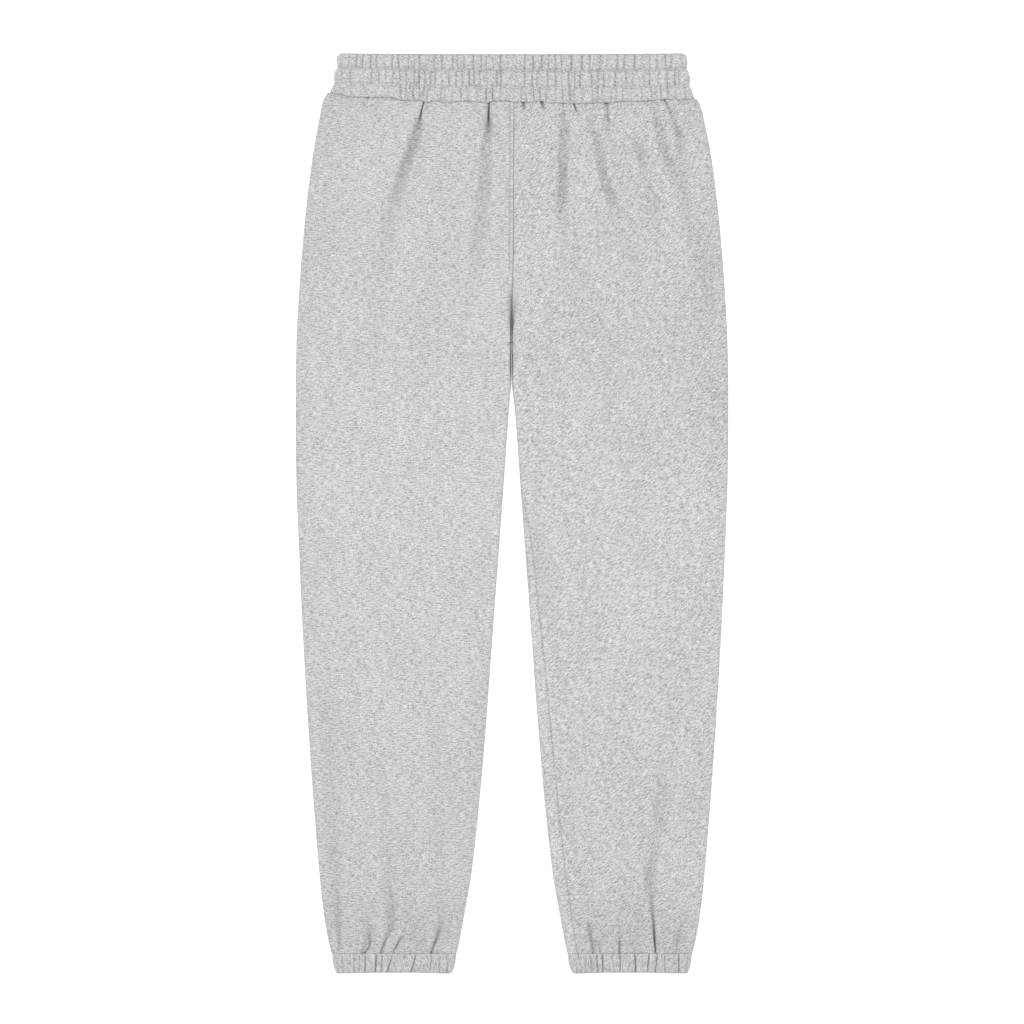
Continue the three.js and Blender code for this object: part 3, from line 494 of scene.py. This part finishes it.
def shell(name, outer, inner, across, along, hollow=0):
    """A closed sheet of cloth from its outer and inner grids of points, in millimetres.

    across and along are the distances on the cloth of each grid point, for the cloth's own map, and
    hollow is the shade painted on the cloth's colour there, at the bottom of a crease or gather.
    """
    rows, columns = outer.shape[:2]
    count = rows * columns
    index = np.arange(count).reshape(rows, columns)
    quads = [
        np.stack([index[:-1, :-1], index[1:, :-1], index[1:, 1:], index[:-1, 1:]], -1).reshape(-1, 4),
    ]
    quads.append(quads[0][:, ::-1] + count)
    rim = np.concatenate([index[0, :-1], index[:-1, -1], index[-1, :0:-1], index[:0:-1, 0]])
    after = np.roll(rim, -1)
    quads.append(np.stack([rim, after, after + count, rim + count], -1))
    points = np.concatenate([outer.reshape(-1, 3), inner.reshape(-1, 3)]) * MM
    cloth = np.stack([across, along], -1).reshape(-1, 2) * MM
    quads = np.concatenate(quads)
    hollow = np.broadcast_to(hollow, (rows, columns)).reshape(-1)
    both = np.concatenate([hollow, hollow])
    return mesh_object(name, points, quads, np.concatenate([cloth, cloth])[quads], both)


def ring(name, grid, across, along, hollow):
    """A ring from a grid of points that closes round the loop and round the wall's section.

    across and along have one more row and column than the grid, for the map of the closing faces.
    """
    loop, around = grid.shape[:2]
    i, j = np.meshgrid(np.arange(loop), np.arange(around), indexing="ij")
    corners = [(i, j), (i + 1, j), (i + 1, j + 1), (i, j + 1)]
    quads = np.stack([(a % loop) * around + b % around for a, b in corners], -1).reshape(-1, 4)
    cloth = np.stack([np.stack([across[a, b], along[a, b]], -1) for a, b in corners], 2)
    points = grid.reshape(-1, 3) * MM
    return mesh_object(name, points, quads, cloth.reshape(-1, 4, 2) * MM, hollow.reshape(-1))


def add_object(name, data):
    made = bpy.data.objects.new(name, data)
    bpy.context.scene.collection.objects.link(made)
    return made


def mesh_object(name, points, quads, cloth, hollow):
    """An object from points in metres and quads, turned so that its faces point outwards."""
    a, b, c, d = (points[quads[:, k]] for k in range(4))
    volume = np.sum(a * np.cross(b, c)) + np.sum(a * np.cross(c, d))
    if volume < 0:
        quads, cloth = quads[:, ::-1], cloth[:, ::-1]
    mesh = bpy.data.meshes.new(name)
    mesh.from_pydata(points.tolist(), [], quads.tolist())
    mesh.uv_layers.new(name="cloth").data.foreach_set("uv", cloth.reshape(-1))
    # The hollow attribute holds painted shade: the share by which the fleece's colour is made darker
    closed = np.clip(hollow, 0, MOST_PAINTED_SHADE)
    mesh.attributes.new("hollow", "FLOAT", "POINT").data.foreach_set("value", closed)
    mesh.shade_smooth()
    mesh.validate()
    return add_object(name, mesh)


def panel_rows():
    """Heights of the rows of points down a panel."""
    fine = np.linspace(WAIST_SEAM_Y - SLIT / 2, ANKLE_SEAM_Y + SLIT / 2, 9300)
    density = 1 / sample(ROW_SPACING, "step", fine)
    count = round(float(np.sum((density[1:] + density[:-1]) / 2) * abs(fine[1] - fine[0])))
    return spread(-fine, density, count) * -1


def inner_fold(leg, y, sink_y):
    """Above the crotch a panel stops at the centre line, and its edge sinks there between the legs."""
    roll = smooth((y - CROTCH_Y) / (sink_y - CROTCH_Y))
    shift = FOLD_REACH * (1 - np.cos(roll * math.pi / 2))
    folded = sample(OUTLINE, "inner", y) - NAP * smooth((CROTCH_Y - 40 - y) / 40)
    inner = np.where(y > CROTCH_Y, CENTRE_GAP - shift, folded)
    return roll, inner + leg.side * sample(CENTRE, "x", y)


def seam_dip(from_edge, deep=0.16, wide=0.9):
    """How far the cloth's face turns in beside a sewn edge."""
    return deep * np.exp(-((np.maximum(from_edge, 0) / wide) ** 2))


def ripples(leg, x, y):
    """Small gathers that the elastic leaves in the cloth below the waist seam and above the ankle."""
    below = WAIST_SEAM_Y - y
    above = y - ANKLE_SEAM_Y
    waist = np.sin(x * 0.83 + 1.4 * np.sin(x * 0.19 + leg.side)) * np.exp(-below / 7)
    waist *= 0.34 + 0.16 * np.sin(x * 0.11 + 2 * leg.side)
    ankle = np.sin(x * 0.62 + 1.2 * np.sin(x * 0.23 + leg.side)) * np.exp(-above / 16)
    ankle *= 0.3 + 0.16 * np.sin(x * 0.17 + leg.side)
    return waist + ankle


def undulation(leg, x, y):
    """The slight unevenness of cloth smoothed out by hand."""
    swell = np.sin(x / 17 + y / 61 + leg.side) * np.sin(y / 37 - x / 53)
    lengthwise = np.sin(x / 11.5 + 0.8 * np.sin(y / 83 + leg.side) + 3 * leg.side)
    return 0.22 * swell + 0.12 * lengthwise


def centre_ridge(leg, p, y, from_end):
    """The turned-in cloth beside the centre seam, which the stitches on the right front hold down."""
    above = smooth((y - CENTRE_RIDGE_END) / 30) * np.where(p.nz > 0, 1, 0)
    if leg is LEFT:
        return above * 0.25 * np.exp(-((from_end - 1.6) / 1.2) ** 2)
    ridge = 0.6 * smooth(from_end / 0.8) * (1 - smooth((from_end - STITCHES_FROM_CENTRE + 1.6) / 1.6))
    groove = 0.55 * np.exp(-((from_end - STITCHES_FROM_CENTRE) / 0.8) ** 2)
    return above * (ridge - groove)


def broad_shade(leg, p, s, y):
    """The broad soft shades painted on a leg's front."""
    thigh = THIGH_SHADE[leg.name] * smooth((y - THIGH_SHADE_END) / THIGH_SHADE_FADE[leg.name])
    waist = BELOW_WAIST_SHADE * np.exp(-(WAIST_SEAM_Y - y) / BELOW_WAIST_FADE)
    calf = CALF_SHADE * np.exp(-(((y - CALF_Y) / CALF_SPREAD) ** 2))
    from_ankle = y - ANKLE_SEAM_Y
    outer = OUTER_FOLD_SHADE * smooth((from_ankle - 40) / OUTER_FOLD_SHADE_FADE)
    outer = outer * np.exp(-(((s.outer - p.x) / BAND_WIDTH) ** 2))
    shade = thigh + waist + calf + outer
    if leg is LEFT:
        return shade
    inner = INNER_FOLD_SHADE * smooth((INNER_FOLD_SHADE_TOP - y) / 55) * smooth(from_ankle / 60)
    return shade + inner * np.exp(-(((p.x - s.inner) / BAND_WIDTH) ** 2))


def inseam_shade(y, from_seam):
    return np.exp(-((from_seam / 1.1) ** 2)) * smooth((90 - y) / 60)


def centre_shade(leg, p, y):
    """The shade painted at the centre front, where the cloth turns in between the legs."""
    away = np.abs(p.x - leg.side * sample(CENTRE, "x", y))
    wide = sample(CENTRE_PAINTED_SHADE, "wide", y)
    closed = sample(CENTRE_PAINTED_SHADE, leg.name, y) * np.exp(-((away / wide) ** 2))
    # painted shade in the groove of the centre front's stitches
    groove = 0.18 * np.exp(-((away - STITCHES_FROM_CENTRE) / 0.8) ** 2)
    groove = groove * smooth((y - CENTRE_RIDGE_END) / 30)
    return closed + (groove if leg is RIGHT else 0)


def front_shade(leg, p, s, y, from_end, creases):
    """The shade painted on a front's colour, with that of its creases given."""
    shade = creases + WAIST_SHADE * np.exp(-(WAIST_SEAM_Y - y) / 4)
    shade = shade + ANKLE_SHADE * smooth((95 - (y - ANKLE_SEAM_Y)) / 70)
    shade = shade + centre_shade(leg, p, y) + INSEAM_SHADE[leg.name] * inseam_shade(y, from_end)
    return shade + broad_shade(leg, p, s, y)


def front_panel(leg):
    y = panel_rows()[:, None]
    roll, inner = inner_fold(leg, y, FRONT_SINK_Y)
    s = section(y, inner)
    seam = np.where(y > CROTCH_Y, s.turn * roll, sample(INSEAM, leg.name, y))
    end = s.tip - seam - SLIT / 2
    walked = np.concatenate([front_columns(leg, y[i, 0], s, end, i) for i in range(len(y))])
    p = place_on(s, walked)
    from_side = walked + SIDE_SEAM_DROP
    from_end = end - walked
    from_waist = WAIST_SEAM_Y - y
    from_ankle = y - ANKLE_SEAM_Y
    fade = smooth((np.minimum(p.x - s.inner, s.outer - p.x) - FOLD_REACH / 2) / RELIEF_MARGIN)
    on_top = np.where(p.nz > 0, fade, 0)
    large, large_painted_shade = relief(leg.creases, p.x, y)
    small, small_painted_shade = relief(leg.small_creases, p.x, y)
    loose = (undulation(leg, p.x, y) + ripples(leg, p.x, y)) * np.sqrt(on_top)
    uneven = 1 + SEAM_UNEVENNESS * np.sin(p.x / 9 + 2 * np.sin(p.x / 31 + leg.side))
    edge = seam_dip(from_side) + seam_dip(from_end) + seam_dip(from_waist, 0.05 * uneven)
    edge = edge + seam_dip(from_ankle, 0.2, 1.4)
    lift = seam_lift(leg.side * p.x, p.nz > 0) * near_waist_seam(y)
    form = CREASE_DEPTH * (large + small) * on_top + loose + centre_ridge(leg, p, y, from_end)
    lowest = np.where(p.nz > FACES_UP, INSIDE_TOP, -1)
    face = np.maximum(p.z - edge * p.nz + form, lowest + THINNEST)
    inside = np.maximum(np.minimum(p.z - CLOTH * p.nz + form, face - THINNEST), lowest)
    inside = np.where(p.nz > FACES_UP, inside, p.z - CLOTH * p.nz)
    face = np.where(p.nz > FACES_UP, face, p.z - edge * p.nz)
    grids = [
        np.stack([leg.side * (p.x - edge * p.nx), y + lift, face], -1),
        np.stack([leg.side * (p.x - CLOTH * p.nx), y + lift, inside], -1),
    ]
    # Painted shade in the creases, along the seams, above the ankle and across the front
    large_shade = LARGE_CREASE_SHADE * large_painted_shade * smooth(from_waist / 22)
    creases = on_top * (large_shade + SMALL_CREASE_SHADE * small_painted_shade)
    hollow = front_shade(leg, p, s, y, from_end, creases)
    panel = shell(f"cloth_front_{leg.name}", *grids, leg.side * -walked, y + lift, hollow)
    place = end[:, 0] - STITCHES_FROM_CENTRE
    path = [
        [np.interp(at, w, row[:, axis]) for axis in range(3)]
        for at, w, row in zip(place, walked, grids[0])
    ]
    stitched = (y[:, 0] < STITCHES_TOP) & (y[:, 0] > CENTRE_RIDGE_END + 15)
    return panel, np.array(path)[stitched]


def front_columns(leg, y, s, end, i):
    """Distances walked of a front panel's columns at one height, closest beside creases and seams."""
    fine = np.linspace(-SIDE_SEAM_DROP, end[i, 0], 1400)
    density = 1 + 3 * np.exp(-(fine + SIDE_SEAM_DROP) / 1.6) + 3 * np.exp(-(end[i, 0] - fine) / 1.6)
    if y > CROTCH_Y:
        density += 4 * np.exp(-(((end[i, 0] - fine - STITCHES_FROM_CENTRE + 1) / 3) ** 2))
    start = s.turn[i, 0] + s.outer[i, 0] - FOLD_REACH
    for line in [*leg.creases.values(), *leg.small_creases.values()]:
        deep, wide = float(sample(line, "deep", y)), float(sample(line, "wide", y))
        q = (start - float(sample(line, "x", y)) - fine) / (1.8 * wide)
        density += 3.2 * min(1, deep) / wide * np.exp(-q * q)
    return spread(fine, density, FRONT_COLUMNS)[None]


def back_panel(leg):
    y = panel_rows()[:, None]
    roll, inner = inner_fold(leg, y, BACK_SINK_Y)
    s = section(y, inner)
    seam = np.where(y > CROTCH_Y, -s.turn * roll, sample(INSEAM, leg.name, y))
    start = s.tip - seam + SLIT / 2
    end = s.around - SIDE_SEAM_DROP - SLIT
    share = np.linspace(0, 1, BACK_COLUMNS + 1)[None]
    share = share - 0.9 * np.sin(2 * math.pi * share) / (2 * math.pi)
    walked = start + (end - start) * share
    p = place_on(s, walked)
    edge = seam_dip(walked - start) + seam_dip(end - walked)
    edge = edge + seam_dip(WAIST_SEAM_Y - y) + seam_dip(y - ANKLE_SEAM_Y)
    from_turn = np.minimum(walked - s.tip, s.around - walked) - s.turn
    under = np.where(p.nz < -0.9, smooth(from_turn / 20), 0)
    crease = under * np.clip(-relief(leg.creases, p.x, y)[0], 0, 1.1) * 0.7
    lift = seam_lift(leg.side * p.x, p.nz > 0) * near_waist_seam(y)
    grids = []
    for depth in (edge + crease, CLOTH):
        x = leg.side * (p.x - depth * p.nx)
        grids.append(np.stack([x, y + lift, p.z - depth * p.nz], -1))
    # Painted shade along the inseam
    hollow = INSEAM_SHADE[leg.name] * inseam_shade(y, walked - start)
    return shell(f"cloth_back_{leg.name}", *grids, leg.side * -walked, y + lift, hollow)


def finer(rows, steps):
    """A section's table with more rows, on smooth curves that stay between its own."""
    count = len(next(iter(rows.values())))
    places = np.arange((count - 1) * steps + 1) / steps
    knots = {"y": -np.arange(count, dtype=float), **rows}
    i = np.minimum(places.astype(int), count - 2)
    curves = {}
    for name, values in rows.items():
        low, high = np.minimum(values[i], values[i + 1]), np.maximum(values[i], values[i + 1])
        curves[name] = np.clip(sample(knots, name, -places), low, high)
    return curves


def loop_places(size, spread_half):
    """Places round a flattened loop whose flat part is twice spread_half: x, z and the normal."""
    front, turns, back = size.columns
    half = size.height / 2
    top = np.linspace(1, -1, front, endpoint=False)
    bottom = np.linspace(-1, 1, back, endpoint=False)
    bend = np.linspace(0, 1, turns, endpoint=False) * math.pi
    x = [top * spread_half, -spread_half - size.turn * np.sin(bend), bottom * spread_half,
         spread_half + size.turn * np.sin(bend)]
    z = [np.full(front, half), half * np.cos(bend), np.full(back, -half), -half * np.cos(bend)]
    nx = [np.zeros(front), -np.sin(bend), np.zeros(back), np.sin(bend)]
    nz = [np.ones(front), np.cos(bend), -np.ones(back), -np.cos(bend)]
    return [np.concatenate(part) for part in (x, z, nx, nz)]


def gathers(place, rise, valleys):
    """How deep the cloth lies between the gathers of one tube, as a share of the valley."""
    total = np.zeros_like(place)
    for x, lean, deep in zip(valleys["x"], valleys["lean"], valleys["deep"]):
        q = np.abs(place - x - lean * (rise - 0.5))
        total += deep * (0.85 * np.exp(-((q / 0.62) ** 1.5)) + 0.2 * np.exp(-((q / 2.2) ** 2)))
    return total


def distances_round(x, z):
    """Distances walked round a loop at each of its columns, and at the first one again."""
    step = np.hypot(np.diff(x, append=x[0]), np.diff(z, append=z[0]))
    return np.concatenate([[0], np.cumsum(step)])


def back_gathers():
    """The gathers of each tube on the waistband's back, which the photograph hides."""
    rng = np.random.default_rng(7)
    count = WAISTBAND.back_gathers
    tubes = []
    for _ in TUBES:
        x = np.cumsum(rng.uniform(5.4, 10.6, count)) - 172
        lean = rng.uniform(-1.5, 1.5, count)
        tubes.append({"x": x, "lean": lean, "deep": rng.uniform(0.3, 1, count)})
    return tubes


def waistband():
    """The waistband, and the paths of the two rows of stitches round it."""
    rows = finer(WAISTBAND_SECTION, 4)
    back = back_gathers()
    grid, painted_shades, paths, walked = [], [], [], None
    for k in range(len(rows["rise"])):
        rise = rows["rise"][k]
        x, z, nx, nz = loop_places(WAISTBAND, rows["half"][k] - WAISTBAND.turn)
        if walked is None:
            walked = distances_round(x, z)
        hollow = np.zeros_like(x)
        for tube in range(3):
            below, above = (smooth((rise - row) / 0.04 + 0.5) for row in WAISTBAND.rows[tube:tube + 2])
            share = below - above
            front_part = gathers(x, rise, TUBES[tube]) * smooth((nz + 0.2) / 1.2)
            back_part = gathers(x, rise, back[tube]) * smooth((0.2 - nz) / 1.2)
            hollow += share * (front_part + back_part)
        depth = rows["depth"][k] + WAISTBAND.valley * rows["gather"][k] * hollow
        front_x = x - depth * nx
        seam = WAIST_SEAM_Y + seam_lift(front_x, nz > 0) + SLIT / 2
        sag = WAISTBAND.sag * (1 - np.minimum(1, np.abs(x) / WAIST_HALF) ** 2)
        notch = 0.5 * np.minimum(hollow, 1) * smooth((rise - 0.9) / 0.1)
        y = lerp(seam, WAISTBAND.top - sag - notch, rise)
        grid.append(np.stack([front_x, y, WAISTBAND.height / 2 + z - depth * nz], -1))
        if rise in WAISTBAND.rows:
            flat = rows["depth"][k] + 0.3 * WAISTBAND.valley * rows["gather"][k] * np.minimum(hollow, 1)
            paths.append(np.stack([x - flat * nx, y, WAISTBAND.height / 2 + z - flat * nz], -1))
        # Painted shade in the gathers and along the rows of stitches
        row_shade = WAISTBAND.shades[int(rise > 0.5)] * smooth((rows["depth"][k] - 0.35) / 0.8)
        painted_shades.append(GATHER_SHADE * hollow * np.minimum(1, 1.4 * rows["gather"][k]) + row_shade)
    grid, painted_shades = np.stack(grid, 1), np.stack(painted_shades, 1)
    return band_object("cloth_waistband", grid, walked * WAISTBAND.fullness, painted_shades), paths


def band_object(name, grid, walked, hollow):
    """A ring with its cloth's map: round the loop, and round the wall's section."""
    step = np.linalg.norm(np.diff(grid.mean(0), axis=0, append=grid.mean(0)[:1]), axis=1)
    round_wall = np.concatenate([[0], np.cumsum(step)])
    across = np.repeat(walked[:, None], len(round_wall), 1)
    along = np.repeat(round_wall[None], len(walked), 0)
    return ring(name, grid, across, along, hollow)


def ankle_casing(leg):
    rows = finer(CASING_SECTION, 6)
    rng = np.random.default_rng(11 + leg.side)
    back_pleats = np.cumsum(rng.uniform(5, 13, CASING.back_pleats))
    grid, painted_shades, walked = [], [], None
    for k in range(len(rows["rise"])):
        spread_half = (rows["outer"][k] - rows["inner"][k]) / 2 - CASING.turn
        middle = (rows["outer"][k] + rows["inner"][k]) / 2
        x, z, nx, nz = loop_places(CASING, spread_half)
        if walked is None:
            walked = distances_round(x, z)
        x = x + middle
        pleat = lerp(leg.pleats["foot"], leg.pleats["seam"], rows["rise"][k])
        depth = np.zeros_like(x)
        for place, deep in zip(pleat, leg.pleats["deep"]):
            depth += np.where(nz > 0, deep * np.exp(-(np.abs(x - place) / 0.65) ** 1.3), 0)
        for number, place in enumerate(back_pleats):
            q = np.abs(x - rows["inner"][k] - place) / 1.2
            depth += np.where(nz < 0, (0.4 + 0.1 * (number % 4)) * np.exp(-q**1.3), 0)
        depth += 0.12 * np.sin(x * 0.9 + np.sin(x * 0.21)) * (np.abs(nz) > 0.9)
        # Painted shade in the pleats and along the hem
        painted_hem_shade = 0.12 * smooth((0.12 - rows["rise"][k]) / 0.1) * (nz > 0)
        painted_shades.append(PLEAT_SHADE * depth * rows["gather"][k] + painted_hem_shade)
        depth = rows["depth"][k] + CASING.valley * rows["gather"][k] * depth
        bow = CASING.bow * (1 - ((x - middle) / (spread_half + CASING.turn)) ** 2)
        y = lerp(CASING.bottom + bow, ANKLE_SEAM_Y - SLIT / 2, rows["rise"][k])
        place = leg.side * (x - depth * nx)
        grid.append(np.stack([place, y, CASING.height / 2 + z - depth * nz], -1))
    name = f"cloth_ankle_casing_{leg.name}"
    grid, painted_shades = np.stack(grid, 1), np.stack(painted_shades, 1)
    return band_object(name, grid, walked * CASING.fullness, painted_shades)


def node(tree, kind, inputs=None, **settings):
    """A shader or geometry node with its settings and the values or links of its inputs."""
    made = tree.nodes.new(kind)
    for key, value in settings.items():
        setattr(made, key, value)
    for key, value in (inputs or {}).items():
        if isinstance(value, bpy.types.NodeSocket):
            tree.links.new(value, made.inputs[key])
        else:
            made.inputs[key].default_value = value
    return made


def fleck_noise(tree, cloth, angle, size, detail, seed):
    """Noise drawn out into flecks that lie at an angle on the cloth."""
    placed = node(tree, "ShaderNodeMapping", {"Vector": cloth}, vector_type="TEXTURE")
    placed.inputs["Rotation"].default_value = (0, 0, angle)
    placed.inputs["Scale"].default_value = (size[0] * MM, size[1] * MM, MM)
    placed.inputs["Location"].default_value = (seed, seed / 2, 0)
    noise = node(
        tree, "ShaderNodeTexNoise",
        {"Vector": placed.outputs["Vector"], "Scale": 1, "Detail": detail, "Roughness": 0.6},
        noise_dimensions="2D",
    )
    return noise.outputs["Factor"] if "Factor" in noise.outputs else noise.outputs["Fac"]


def math_node(tree, operation, a, b):
    return node(tree, "ShaderNodeMath", {0: a, 1: b}, operation=operation).outputs[0]


def fleece(name, angle, contrast=1.0, tone=1.0):
    """Brushed heather fleece: pale grey with darker and lighter flecks that lie at an angle."""
    material = bpy.data.materials.new(name)
    material.use_nodes = True
    tree = material.node_tree
    tree.nodes.clear()
    cloth = node(tree, "ShaderNodeUVMap", uv_map="cloth").outputs["UV"]
    layers = [
        (fleck_noise(tree, cloth, angle, (4.8, 1), 1, 0.31), 1.3),
        (fleck_noise(tree, cloth, angle, (10, 1.1), 1, 0.68), 0.6),
        (fleck_noise(tree, cloth, angle + 0.5, (2.1, 1), 1, 0.57), 0.85),
        (fleck_noise(tree, cloth, angle, (1.2, 0.75), 0, 0.21), 0.95),
        (fleck_noise(tree, cloth, angle, (13, 7), 2, 0.83), 0.33),
        (fleck_noise(tree, cloth, 0, (60, 90), 1, 0.12), 0.12),
    ]
    total = None
    for fleck, weight in layers:
        part = math_node(tree, "MULTIPLY", math_node(tree, "SUBTRACT", fleck, 0.5), weight * contrast)
        total = part if total is None else math_node(tree, "ADD", total, part)
    ramp = node(tree, "ShaderNodeValToRGB", {"Fac": math_node(tree, "ADD", total, 0.5)})
    stops = [(0.0, (0.18, 0.18, 0.187)), (0.3, (0.286, 0.286, 0.294)), (0.55, (0.368, 0.368, 0.377)),
             (1.0, (0.49, 0.49, 0.5))]
    while len(ramp.color_ramp.elements) < len(stops):
        ramp.color_ramp.elements.new(0.5)
    for stop, (position, color) in zip(ramp.color_ramp.elements, stops):
        stop.position = position
        stop.color = (*[tone * value for value in color], 1)
    # Painted shade: the hollow attribute makes the colour darker in creases, gathers, pleats, at seams
    # and between the legs
    hollow = node(tree, "ShaderNodeAttribute", attribute_name="hollow").outputs["Fac"]
    shade = math_node(tree, "SUBTRACT", 1, math_node(tree, "MULTIPLY", hollow, HOLLOW_SHADE))
    color = node(
        tree, "ShaderNodeVectorMath", {0: ramp.outputs["Color"], "Scale": shade}, operation="SCALE"
    ).outputs["Vector"]
    nap = fleck_noise(tree, cloth, angle, (2.6, 1.1), 2, 0.44)
    bump = node(tree, "ShaderNodeBump", {"Height": nap, "Strength": 0.5, "Distance": 0.4 * MM})
    surface = node(
        tree, "ShaderNodeBsdfPrincipled",
        {"Base Color": color, "Roughness": 0.95, "Normal": bump.outputs["Normal"]},
    )
    surface.inputs["Specular IOR Level"].default_value = 0.2
    surface.inputs["Sheen Weight"].default_value = 0.25
    surface.inputs["Sheen Roughness"].default_value = 0.55
    output = node(tree, "ShaderNodeOutputMaterial")
    tree.links.new(surface.outputs["BSDF"], output.inputs["Surface"])
    return material


def stitch_tree(thread):
    """Stitches end to end along a path: small spindles of thread, each a little out of line."""
    tree = bpy.data.node_groups.new("stitches_along_a_path", "GeometryNodeTree")
    tree.interface.new_socket("Path", in_out="INPUT", socket_type="NodeSocketGeometry")
    for name in ("Spacing", "Length", "Thickness", "Unevenness"):
        tree.interface.new_socket(name, in_out="INPUT", socket_type="NodeSocketFloat")
    tree.interface.new_socket("Seed", in_out="INPUT", socket_type="NodeSocketInt")
    tree.interface.new_socket("Stitches", in_out="OUTPUT", socket_type="NodeSocketGeometry")
    given = node(tree, "NodeGroupInput").outputs
    curve = node(tree, "GeometryNodeMeshToCurve", {"Mesh": given["Path"]}).outputs["Curve"]
    places = node(
        tree, "GeometryNodeResampleCurve", {"Curve": curve, "Length": given["Spacing"]}, mode="LENGTH"
    ).outputs["Curve"]
    bead = node(tree, "GeometryNodeMeshUVSphere", {"Segments": 8, "Rings": 5, "Radius": 0.5})
    size = node(
        tree, "ShaderNodeCombineXYZ",
        {"X": given["Length"], "Y": given["Thickness"], "Z": given["Thickness"]},
    )
    stitch = node(
        tree, "GeometryNodeTransform",
        {"Geometry": bead.outputs["Mesh"], "Scale": size.outputs["Vector"]},
    ).outputs["Geometry"]
    along = node(
        tree, "FunctionNodeAlignRotationToVector",
        {"Vector": node(tree, "GeometryNodeInputTangent").outputs["Tangent"]}, axis="X",
    ).outputs["Rotation"]
    less = math_node(tree, "MULTIPLY", given["Unevenness"], -1)
    turn = node(
        tree, "FunctionNodeRandomValue", {2: less, 3: given["Unevenness"], "Seed": given["Seed"]},
        data_type="FLOAT",
    ).outputs[1]
    turned = node(
        tree, "FunctionNodeEulerToRotation",
        {"Euler": node(tree, "ShaderNodeCombineXYZ", {"Z": turn}).outputs["Vector"]},
    ).outputs["Rotation"]
    lie = node(
        tree, "FunctionNodeRotateRotation", {"Rotation": along, "Rotate By": turned},
        rotation_space="LOCAL",
    ).outputs["Rotation"]
    row = node(
        tree, "GeometryNodeInstanceOnPoints", {"Points": places, "Instance": stitch, "Rotation": lie}
    ).outputs["Instances"]
    real = node(tree, "GeometryNodeRealizeInstances", {"Geometry": row}).outputs["Geometry"]
    made = node(tree, "GeometryNodeSetMaterial", {"Geometry": real, "Material": thread})
    end = node(tree, "NodeGroupOutput")
    tree.links.new(made.outputs["Geometry"], end.inputs["Stitches"])
    return tree


def stitches(name, tree, path, closed, **values):
    """A row of stitches as a plain mesh, along a path of points in millimetres."""
    count = len(path)
    edges = [(i, (i + 1) % count) for i in range(count if closed else count - 1)]
    mesh = bpy.data.meshes.new(name)
    mesh.from_pydata((path * MM).tolist(), edges, [])
    row = add_object(name, mesh)
    modifier = row.modifiers.new("stitches", "NODES")
    modifier.node_group = tree
    for socket in tree.interface.items_tree:
        if socket.name in values:
            modifier[socket.identifier] = values[socket.name]
    view = bpy.context.evaluated_depsgraph_get()
    made = bpy.data.meshes.new_from_object(row.evaluated_get(view))
    row.modifiers.remove(modifier)
    row.data = made
    bpy.data.meshes.remove(mesh)
    made.name = name
    return row


def plain_material(name, color, roughness):
    material = bpy.data.materials.new(name)
    material.use_nodes = True
    surface = material.node_tree.nodes["Principled BSDF"]
    surface.inputs["Base Color"].default_value = (*color, 1)
    surface.inputs["Roughness"].default_value = roughness
    surface.inputs["Specular IOR Level"].default_value = 0
    return material


def camera_above():
    """The camera looks straight down, so that a pixel of the photograph is 1.0876 mm of cloth."""
    data = bpy.data.cameras.new("camera")
    data.lens = 70
    data.sensor_width = 36
    data.clip_end = 20
    bpy.context.scene.camera = add_object("camera", data)
    bpy.context.scene.camera.location = (0, 0.0011, 2.1692)


def studio():
    """A pale floor under one large soft light, with white light from all round."""
    mesh = bpy.data.meshes.new("floor")
    mesh.from_pydata([(-6, -6, 0), (6, -6, 0), (6, 6, 0), (-6, 6, 0)], [], [(0, 1, 2, 3)])
    mesh.materials.append(plain_material("pale_floor", (0.94, 0.94, 0.94), 0.9))
    floor = add_object("floor", mesh)
    world = bpy.data.worlds.new("studio")
    world.use_nodes = True
    world.node_tree.nodes["Background"].inputs["Color"].default_value = (1, 1, 1, 1)
    world.node_tree.nodes["Background"].inputs["Strength"].default_value = 0.9
    bpy.context.scene.world = world
    data = bpy.data.lights.new("soft_light", "AREA")
    data.shape = "DISK"
    data.size = 2.2
    data.energy = 95
    light = add_object("soft_light", data)
    light.location = (-0.1, 0.6, 3)
    light.rotation_euler = (math.radians(-11.3), math.radians(-1.9), 0)
    bpy.context.scene.view_settings.view_transform = "Standard"


camera_above()
studio()

LEFT = SimpleNamespace(
    name="left", side=1, creases=LEFT_CREASES, small_creases=LEFT_SMALL_CREASES, pleats=LEFT_PLEATS
)
RIGHT = SimpleNamespace(
    name="right", side=-1, creases=RIGHT_CREASES, small_creases=RIGHT_SMALL_CREASES, pleats=RIGHT_PLEATS
)
left_fleece = fleece("heather_fleece_left_leg", math.radians(30), contrast=1.22)
right_fleece = fleece("heather_fleece_right_leg", math.radians(5), contrast=1.01)
band_fleece = fleece("heather_fleece_band", math.radians(20), contrast=1.25, tone=0.94)
casing_fleece = fleece("heather_fleece_casing", math.radians(70), contrast=1.15, tone=0.955)


def dress(piece, material, node_name):
    piece.data.materials.append(material)
    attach(piece, "root")
    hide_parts(node_name)
    return piece


def sew(name, path, closed=False):
    row = stitches(
        name, sewing, path, closed,
        Spacing=STITCH_SPACING * MM, Length=STITCH_LENGTH * MM, Thickness=STITCH_THICKNESS * MM,
        Unevenness=STITCH_UNEVENNESS, Seed=5,
    )
    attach(row, "root")
    return row


thread = plain_material("grey_thread", (0.36, 0.36, 0.37), 0.6)
sewing = stitch_tree(thread)
band, band_paths = waistband()
waist = dress(band, band_fleece, "waistband")
names = ("stitches_waistband_lower", "stitches_waistband_upper")
rows_sewn = [sew(name, path, closed=True) for name, path in zip(names, band_paths)]
for leg, material in ((LEFT, left_fleece), (RIGHT, right_fleece)):
    panel, centre_path = front_panel(leg)
    front = dress(panel, material, f"front_{leg.name}")
    back = dress(back_panel(leg), material, f"back_{leg.name}")
    casing = dress(ankle_casing(leg), casing_fleece, f"ankle_casing_{leg.name}")
    sewn = [sew("stitches_centre_front", centre_path)] if leg is RIGHT else []
